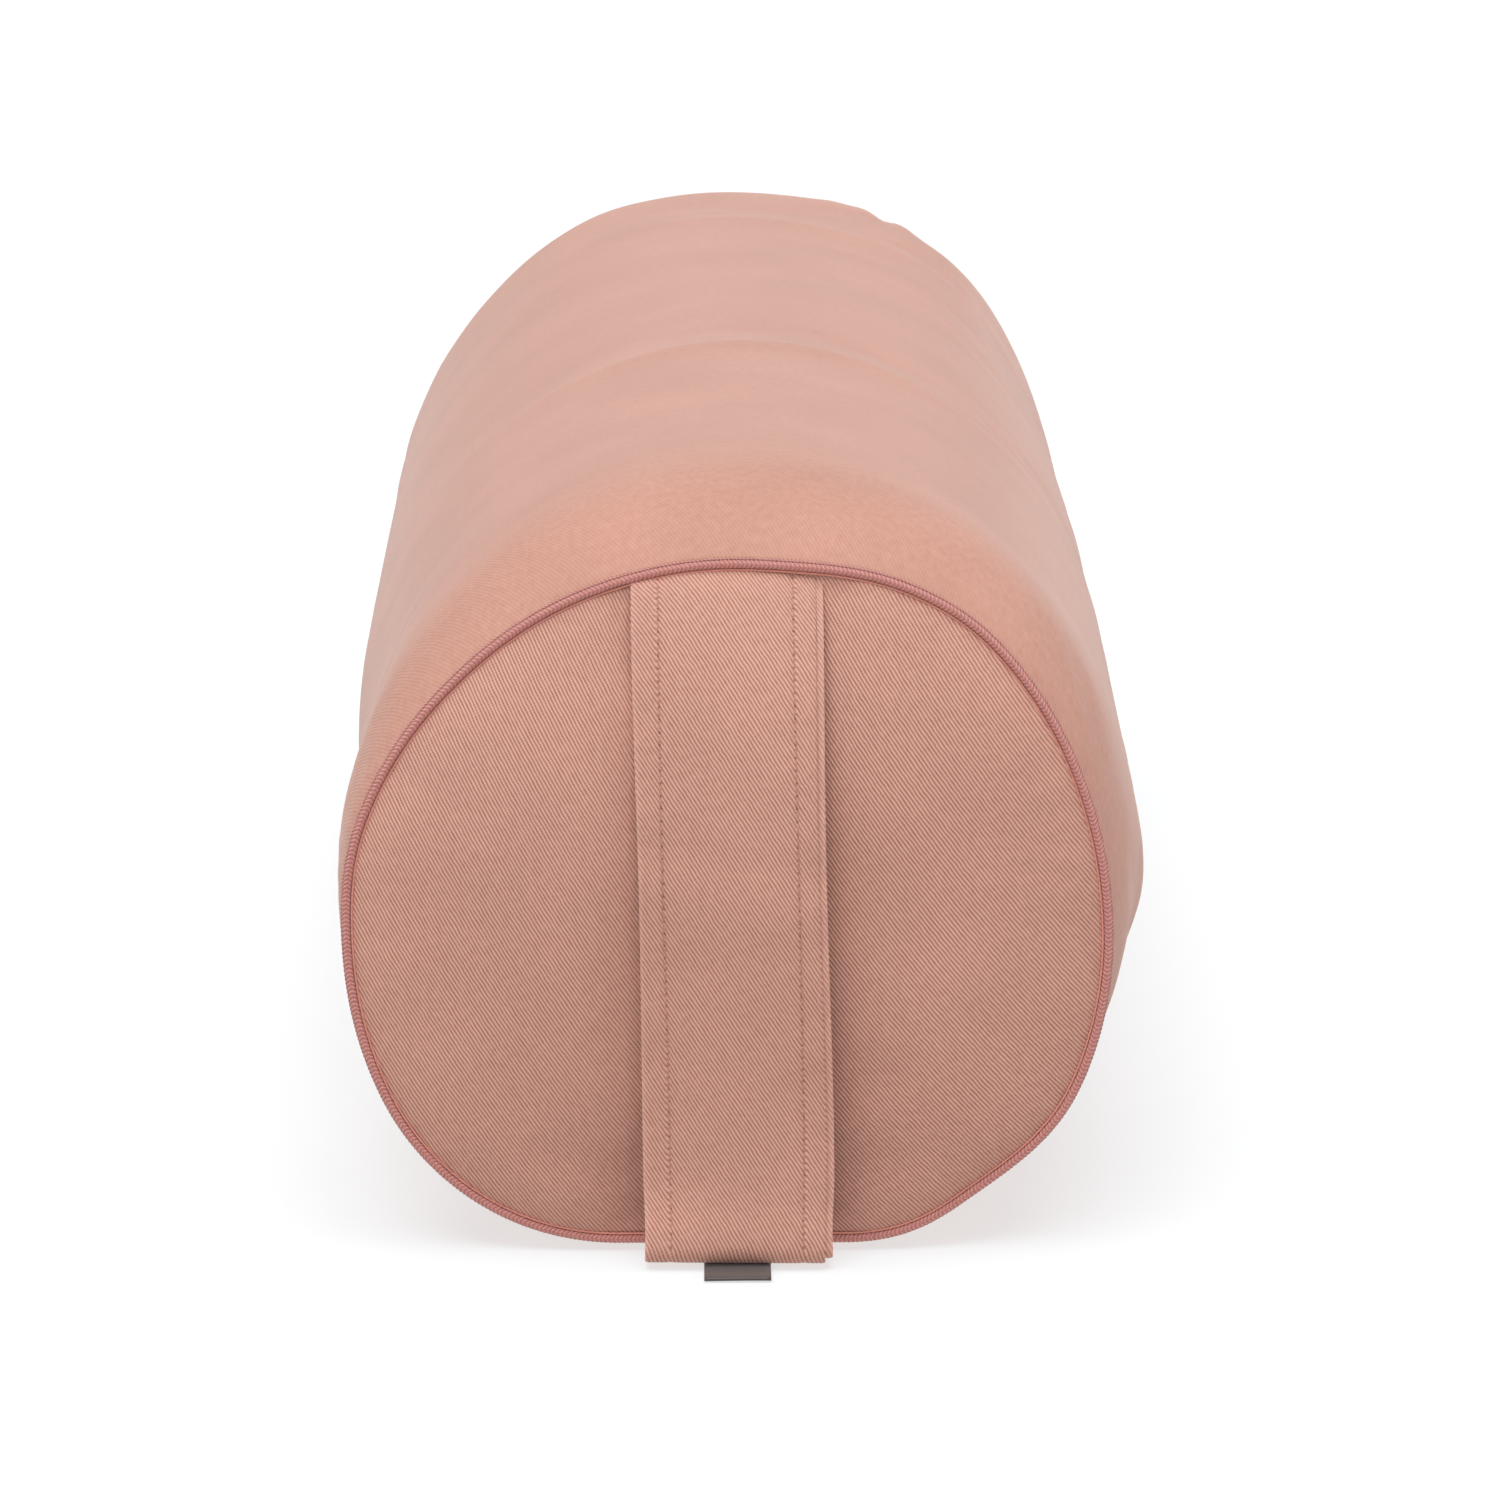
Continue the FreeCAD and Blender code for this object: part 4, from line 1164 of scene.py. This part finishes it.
def liner_end(name, end, replaced):
    """Crowned round at one end of the liner."""
    share = np.linspace(0, 1, 181)
    scale = np.linspace(1.0, 0.03, 34)
    grid_share, grid_scale = np.meshgrid(share, scale)
    folds = waves(grid_share, 18, 40, 5, np.random.default_rng(31)) * 0.35 * MM
    folds = folds * np.exp(-(1 - grid_scale) / 0.12) * smooth(1 - grid_scale, 0, 0.04)
    points = end_points(grid_share, grid_scale, end, LINER_GAP, LINER_BASE, LINER_SHORT,
                        folds)
    piece, flat = crowned_mesh(name, points, end)
    add_cloth(piece, flat[:, [0, 2]])
    thicken(piece, LINER_CLOTH)
    dress(piece, liner_look, "cover", replaced)


for end, word in ((1, "front"), (-1, "rear")):
    liner_end("liner_" + word + "_round", end, ("liner_" + word + "_end",))


GRAIN = 0.22 * MM           # how uneven the hulls make the filling's surface


def make_filling():
    """The hulls, heaped against the inside of the liner."""
    share = np.arange(220) / 220
    inward = FILL_SHORT + np.linspace(0, 1, 110) * (BACK_Y - FRONT_Y - 2 * FILL_SHORT)
    grid_share, grid_y = np.meshgrid(share, FRONT_Y + inward)
    tube = tube_points(grid_share, grid_y, FILL_GAP, FILL_BASE)
    scales = np.linspace(0.97, 0.04, 30)
    cap_share, cap_scale = np.meshgrid(share, scales)
    front = end_points(cap_share, cap_scale, 1, FILL_GAP, FILL_BASE, FILL_SHORT)
    rear = end_points(cap_share, cap_scale, -1, FILL_GAP, FILL_BASE, FILL_SHORT)
    rows = np.array([*front[::-1], *tube, *rear])
    faces = mesh_faces(len(rows), len(share), True) + ring_caps(len(rows), len(share))
    generator = np.random.default_rng(5)
    grains = [generator.normal(0, GRAIN, rows.shape[:2]) for _ in range(4)]
    low = rows[..., 2] < SEAM_MID_Z
    rows[..., 0] += grains[0]
    rows[..., 1] += grains[1]
    rows[..., 2] += np.where(low, np.abs(grains[2]), -np.abs(grains[3]))
    return make_object("hull_heap", rows, faces)


filling = make_filling()
dress(filling, hulls_look, "cover", ("hull_filling",))


# ---------------------------------------------------------------- carry strap

STRAP_HALF = 26.7 * MM
STRAP_THICK = 3.0 * MM
STRAP_CROWN = 0.9 * MM      # how far its edges fall back
ROW_DEPTH = 0.42 * MM       # how deep the topstitches pull its face in
DENT_DEPTH = 0.55 * MM      # two soft dents where it was folded in its packing
# The strap's back: height, and distance out of the seam plane.
STRAP_BACK = np.array(((201.6, -0.5), (197.6, 2.3), (184.0, 9.8), (160.0, 18.4),
                       (130.0, 24.0), (104.0, 25.3), (72.0, 23.2), (42.0, 20.2),
                       (22.0, 19.6), (11.0, 21.4), (5.4, 21.6), (4.4, 18.2), (4.5, 14.0),
                       (5.2, 10.0), (7.0, 7.0), (8.8, 4.4))) * MM
STRAP_SPLIT = 104 * MM


def spline(points, per_span):
    """Catmull-Rom curve through points."""
    padded = np.vstack([2 * points[0] - points[1], points, 2 * points[-1] - points[-2]])
    out = []
    for i in range(1, len(padded) - 2):
        p0, p1, p2, p3 = padded[i - 1:i + 3]
        for t in np.arange(per_span) / per_span:
            out.append(0.5 * (2 * p1 + (p2 - p0) * t + (2 * p0 - 5 * p1 + 4 * p2 - p3) * t ** 2
                              + (3 * p1 - p0 - 3 * p2 + p3) * t ** 3))
    out.append(points[-1])
    return np.array(out)


def even_line(points, spacing):
    run = np.concatenate([[0], np.cumsum(np.linalg.norm(np.diff(points, axis=0), axis=1))])
    count = int(run[-1] / spacing)
    at = np.linspace(0, run[-1], count + 1)
    return np.stack([np.interp(at, run, points[:, k]) for k in range(points.shape[1])],
                    -1), at


strap_line, strap_run = even_line(spline(STRAP_BACK, 24), 1.1 * MM)
strap_direction = normalised(np.gradient(strap_line, axis=0))
# Outward from the strap's back: height falls along the strap, so outward is +out.
strap_out = np.stack([strap_direction[:, 1], -strap_direction[:, 0]], -1)


def strap_profile():
    """Closed outline across the strap, as pairs of place across it and height over its
    back: two folded layers with round edges, the under one a little wider at the right."""
    layer = STRAP_THICK / 2
    r = layer / 2 - 0.03 * MM
    rounds = np.radians(np.linspace(-80, 80, 7))
    right_under = STRAP_HALF + 0.9 * MM
    right_over = STRAP_HALF - 1.3 * MM
    left_under = -STRAP_HALF + 0.5 * MM
    left_over = -STRAP_HALF
    outline = [(x, 0.0) for x in np.linspace(left_under + r, right_under - r, 14)]
    outline += [(right_under - r + r * math.cos(a), r + r * math.sin(a)) for a in rounds]
    notch = right_over - 1.5 * r
    outline += [(notch + 0.12 * MM, layer - 0.04 * MM), (notch, layer),
                (notch + 0.12 * MM, layer + 0.05 * MM)]
    outline += [(right_over - r + r * math.cos(a), layer + r + r * math.sin(a))
                for a in rounds]
    across = np.linspace(right_over - r - 0.4 * MM, left_over + r + 0.4 * MM, 64)
    fine = np.concatenate([s * STRAP_ROW + np.linspace(-1.5, 1.5, 9) * MM for s in (-1, 1)])
    keep = np.min(np.abs(across[:, None] - fine[None]), 1) > 0.35 * MM
    across = np.sort(np.concatenate([across[keep], fine]))[::-1]
    outline += [(x, STRAP_THICK - 0.06 * MM) for x in across]
    outline += [(left_over + r - r * math.cos(a), layer + r - r * math.sin(a))
                for a in rounds]
    notch = left_over + 2.2 * r
    outline += [(notch - 0.12 * MM, layer + 0.05 * MM), (notch, layer),
                (notch - 0.12 * MM, layer - 0.04 * MM)]
    outline += [(left_under + r - r * math.cos(a), r - r * math.sin(a)) for a in rounds]
    return np.array(outline)


def strap_place(x, height, index):
    """Point of the strap at x across it, at a height over its back, at a station."""
    edge = np.abs(x) / STRAP_HALF
    run = strap_run[index]
    share = run / strap_run[-1]
    z0 = strap_line[index, 0]
    free = smooth(share, 0.03, 0.25) * (1 - smooth(share, 0.78, 0.95))
    tilt = (0.085 * x + 0.2 * MM) * free
    crown = -STRAP_CROWN * edge ** 2 * free
    rows = -ROW_DEPTH * (bump(x, STRAP_ROW, 0.9 * MM) + bump(x, -STRAP_ROW, 0.9 * MM))
    over = smooth(height, 1.5 * MM, 2.5 * MM)
    height = height * (0.28 + 0.72 * smooth(run, 1.0 * MM, 9.0 * MM))
    dents = -DENT_DEPTH * (bump(z0 + 0.12 * x, 0.121, 0.006)
                           + 0.8 * bump(z0 - 0.1 * x, 0.094, 0.008))
    ripple = 0.16 * MM * np.sin(run * 310 + x * 90) * edge
    bottom = 1 - smooth(share, 0.80, 0.86)
    soft = (dents + ripple) * free
    out = height + tilt + crown + rows * over * (0.4 + 0.6 * bottom) + soft
    lean = (-1.3 + 3.3 * smooth(share, 0.0, 0.9)) * MM
    round_seam = x ** 2 / SEAM_WIDTH * (1 - smooth(run, 2 * MM, 26 * MM))
    pinch = 1 - 0.016 * bump(z0, 0.012, 0.010)
    edge_sway = 0.35 * MM * np.sin(run * 38 + 1.2) * np.sign(x) * (np.abs(x) > 0.02)
    return np.stack([(x + lean + edge_sway) * pinch,
                     FRONT_Y - (strap_line[index, 1] + strap_out[index, 1] * out),
                     z0 + strap_out[index, 0] * out - round_seam], -1)


profile = strap_profile()
split_index = int(np.argmin(np.abs(strap_line[:, 0] - STRAP_SPLIT)))


def strap_half(name, first, last):
    index = np.arange(first, last + 1)
    grid_index, grid_point = np.meshgrid(index, np.arange(len(profile)), indexing="ij")
    x = profile[grid_point, 0]
    points = strap_place(x, profile[grid_point, 1], grid_index)
    rows, count = points.shape[:2]
    faces = mesh_faces(rows, count, closed=True, flip=True)
    cap_first, cap_last = ring_caps(rows, count)
    faces.append(cap_first[::-1] if first == 0 else cap_last[::-1])
    piece = make_object(name, points, faces)
    side = smooth(np.abs(x), STRAP_HALF - 1.6 * MM, STRAP_HALF)
    add_cloth(piece, np.stack([x, -strap_run[grid_index]], -1), 0.7 * side)
    return dress(piece, strap_twill, None, ("carry_strap",))


last_index = len(strap_line) - 1
top_half = strap_half("strap_upper", 0, split_index)
low_half = strap_half("strap_lower", split_index, last_index)


def strap_stitches(name, first_run, last_run):
    places = []
    pitch = STRAP_HOLES[0]
    top = np.array(STRAP_THICK - 0.06 * MM)
    for number in range(int(first_run / pitch) + 1, math.ceil(last_run / pitch)):
        index = int(round(number * pitch / strap_run[-1] * last_index))
        ahead = min(index + 1, last_index)
        out = normalised(np.array([0, -strap_out[index, 1], strap_out[index, 0]]))
        for side in (-1, 1):
            x = np.array(side * STRAP_ROW)
            here = strap_place(x, top, np.array(index))
            there = strap_place(x, top, np.array(ahead))
            places.append((here, normalised(there - here), out))
    piece = stitch_mesh(name, places, 2.5 * MM, 0.25 * MM, 0.12 * MM)
    return dress(piece, salmon_thread, None, ("strap_stitching",))


top_threads = strap_stitches("strap_upper_stitches", 6 * MM, strap_run[split_index])
low_threads = strap_stitches("strap_lower_stitches", strap_run[split_index],
                             strap_run[-1] - 22 * MM)

for piece in (top_half, top_threads):
    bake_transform(piece)
for piece in (low_half, low_threads):
    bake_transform(piece)


# ---------------------------------------------------------------- labels

LABEL_LAYER = 0.28 * MM
LABEL_X = 2 * MM
LABEL_SWAY = 0.07 * MM
# Both layers of the folded ribbon: height, and distance out of the front seam.
LABEL_LOW = np.array(((5.35, 1.9), (4.65, 3.5), (3.2, 4.7), (1.6, 6.5), (0.75, 9.5),
                      (0.42, 14.0), (0.40, 22.0), (0.42, 34.6))) * MM
LABEL_HIGH = np.array(((1.42, 34.6), (1.25, 22.0), (1.3, 14.0), (1.55, 9.8), (2.45, 6.9),
                       (4.1, 5.2), (5.5, 3.9), (6.2, 2.2))) * MM
LABEL_TIP = np.array([(0.92 - 0.50 * math.cos(a), 34.6 + 0.95 * math.sin(a))
                      for a in np.radians(np.linspace(12, 168, 9))]) * MM


def loop_ribbon():
    """Folded ribbon that comes out of the front seam under the strap."""
    width = 19.2 * MM
    line = np.vstack([spline(LABEL_LOW, 8), LABEL_TIP, spline(LABEL_HIGH, 8)])
    line, run = even_line(line, 0.7 * MM)
    across = np.linspace(-width / 2, width / 2, 17)
    grid_run, grid_x = np.meshgrid(run, across, indexing="ij")
    share = grid_run / run[-1]
    lift = LABEL_SWAY * np.sin(grid_x * 190 + 0.7) * smooth(share, 0.1, 0.5)
    z = np.repeat(line[:, :1], len(across), 1) + lift
    y = FRONT_Y - np.repeat(line[:, 1:], len(across), 1)
    points = np.stack([LABEL_X + grid_x, y, z], -1)
    piece = make_object("loop_label_ribbon", points,
                        mesh_faces(len(run), len(across), flip=True))
    add_cloth(piece, np.stack([grid_x, grid_run], -1))
    thicken(piece, LABEL_LAYER, 0.0)
    dress(piece, label_look, "cover", ("loop_label",))


loop_ribbon()


def care_sheet():
    """Blank label that lies on the inside of the tube beside the cover's zip."""
    care_low, care_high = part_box("care_label")
    radius = TUBE_WIDTH / 2 - CLOTH - 0.42 * MM
    across = np.linspace(17 * MM, 67 * MM, 40)
    y = np.linspace(care_low.y, care_high.y, 20)
    grid_x, grid_y = np.meshgrid(across, y)
    turn = math.radians(COVER_ZIP_ANGLE) + grid_x / radius
    r = radius - 0.1 * MM * (1 + np.sin(grid_x * 260 + grid_y * 90))
    points = np.stack([r * np.cos(turn), grid_y, AXIS_Z + r * np.sin(turn)], -1)
    piece = make_object("care_label_sheet", points, mesh_faces(len(y), len(across)))
    add_cloth(piece, np.stack([grid_x, grid_y], -1))
    thicken(piece, 0.14 * MM, 0.0)
    dress(piece, care_look, "cover", ("care_label",))


care_sheet()


# ---------------------------------------------------------------- floor, light, camera

FLOOR_HALF = 14.0
floor_mesh = bpy.data.meshes.new("floor")
floor_mesh.from_pydata([(x * FLOOR_HALF, y * FLOOR_HALF, 0)
                        for x, y in ((-1, -1), (1, -1), (1, 1), (-1, 1))],
                       [], [(0, 1, 2, 3)])
floor = bpy.data.objects.new("floor", floor_mesh)
floor.location.z = -0.15 * MM
bpy.context.scene.collection.objects.link(floor)
paper = Look("floor_paper", 0.95, specular=0.1)
paper.set("Base Color", (0.34, 0.36, 0.375, 1))
paper.set("Emission Color", (1, 1, 1, 1))
paper.set("Emission Strength", 0.63)
floor_mesh.materials.append(paper.material)
floor.visible_diffuse = False
floor.visible_glossy = False

world = bpy.data.worlds.new("studio")
world.use_nodes = True
# White paper below and round the horizon, a dim room above.
sky = Graph(world.node_tree)
upward = sky.parts(sky.node("TexCoord", out="Generated"))[2]
background = world.node_tree.nodes["Background"]
background.inputs["Color"].default_value = (1.0, 0.965, 0.95, 1)
sky.link(sky.range(upward, 0.14, 0.30, 0.66, 0.16), background.inputs["Strength"])
bpy.context.scene.world = world


def dome_light(name, place, strength, spread, tint=(1, 1, 1)):
    """A very large soft light, far away in the direction of place."""
    data = bpy.data.lights.new(name, "SUN")
    data.energy = strength
    data.color = tint
    data.angle = math.radians(spread)
    light = bpy.data.objects.new(name, data)
    light.location = place
    light.rotation_mode = "QUATERNION"
    light.rotation_quaternion = (-Vector(place)).to_track_quat("-Z", "Y")
    bpy.context.scene.collection.objects.link(light)


dome_light("key", (-0.10, -0.52, 1.95), 2.30, 55, (0.975, 1.01, 1.02))
dome_light("front_fill", (-0.25, -1.6, 1.15), 0.92, 60)
dome_light("left_fill", (-2.0, 0.1, 0.3), 0.42, 60)
dome_light("right_fill", (2.0, 0.1, 0.12), 0.62, 60)
dome_light("back_fill", (0.3, 2.0, 0.75), 0.80, 60)

REFERENCE = Vector((0, FRONT_Y, 0.100))
DISTANCE = 2.3601
LENS = 196.6
AIM_RIGHT = 0.00579
AIM_UP = 0.04731
elevation = math.radians(13.229)
yaw = math.radians(0.292)
forward = Vector((math.sin(yaw) * math.cos(elevation), math.cos(yaw) * math.cos(elevation),
                  -math.sin(elevation)))
right = Vector((math.cos(yaw), -math.sin(yaw), 0))
up = right.cross(forward)
eye = REFERENCE - forward * DISTANCE
target = REFERENCE + right * AIM_RIGHT + up * AIM_UP
camera_data = bpy.data.cameras.new("camera")
camera_data.sensor_width = 36
camera_data.lens = LENS
camera_data.clip_start = 0.05
camera_data.clip_end = 60
camera = bpy.data.objects.new("camera", camera_data)
camera.location = eye
camera.rotation_mode = "QUATERNION"
camera.rotation_quaternion = (target - eye).to_track_quat("-Z", "Y")
bpy.context.scene.collection.objects.link(camera)
bpy.context.scene.camera = camera
bpy.context.scene.view_settings.view_transform = "Standard"
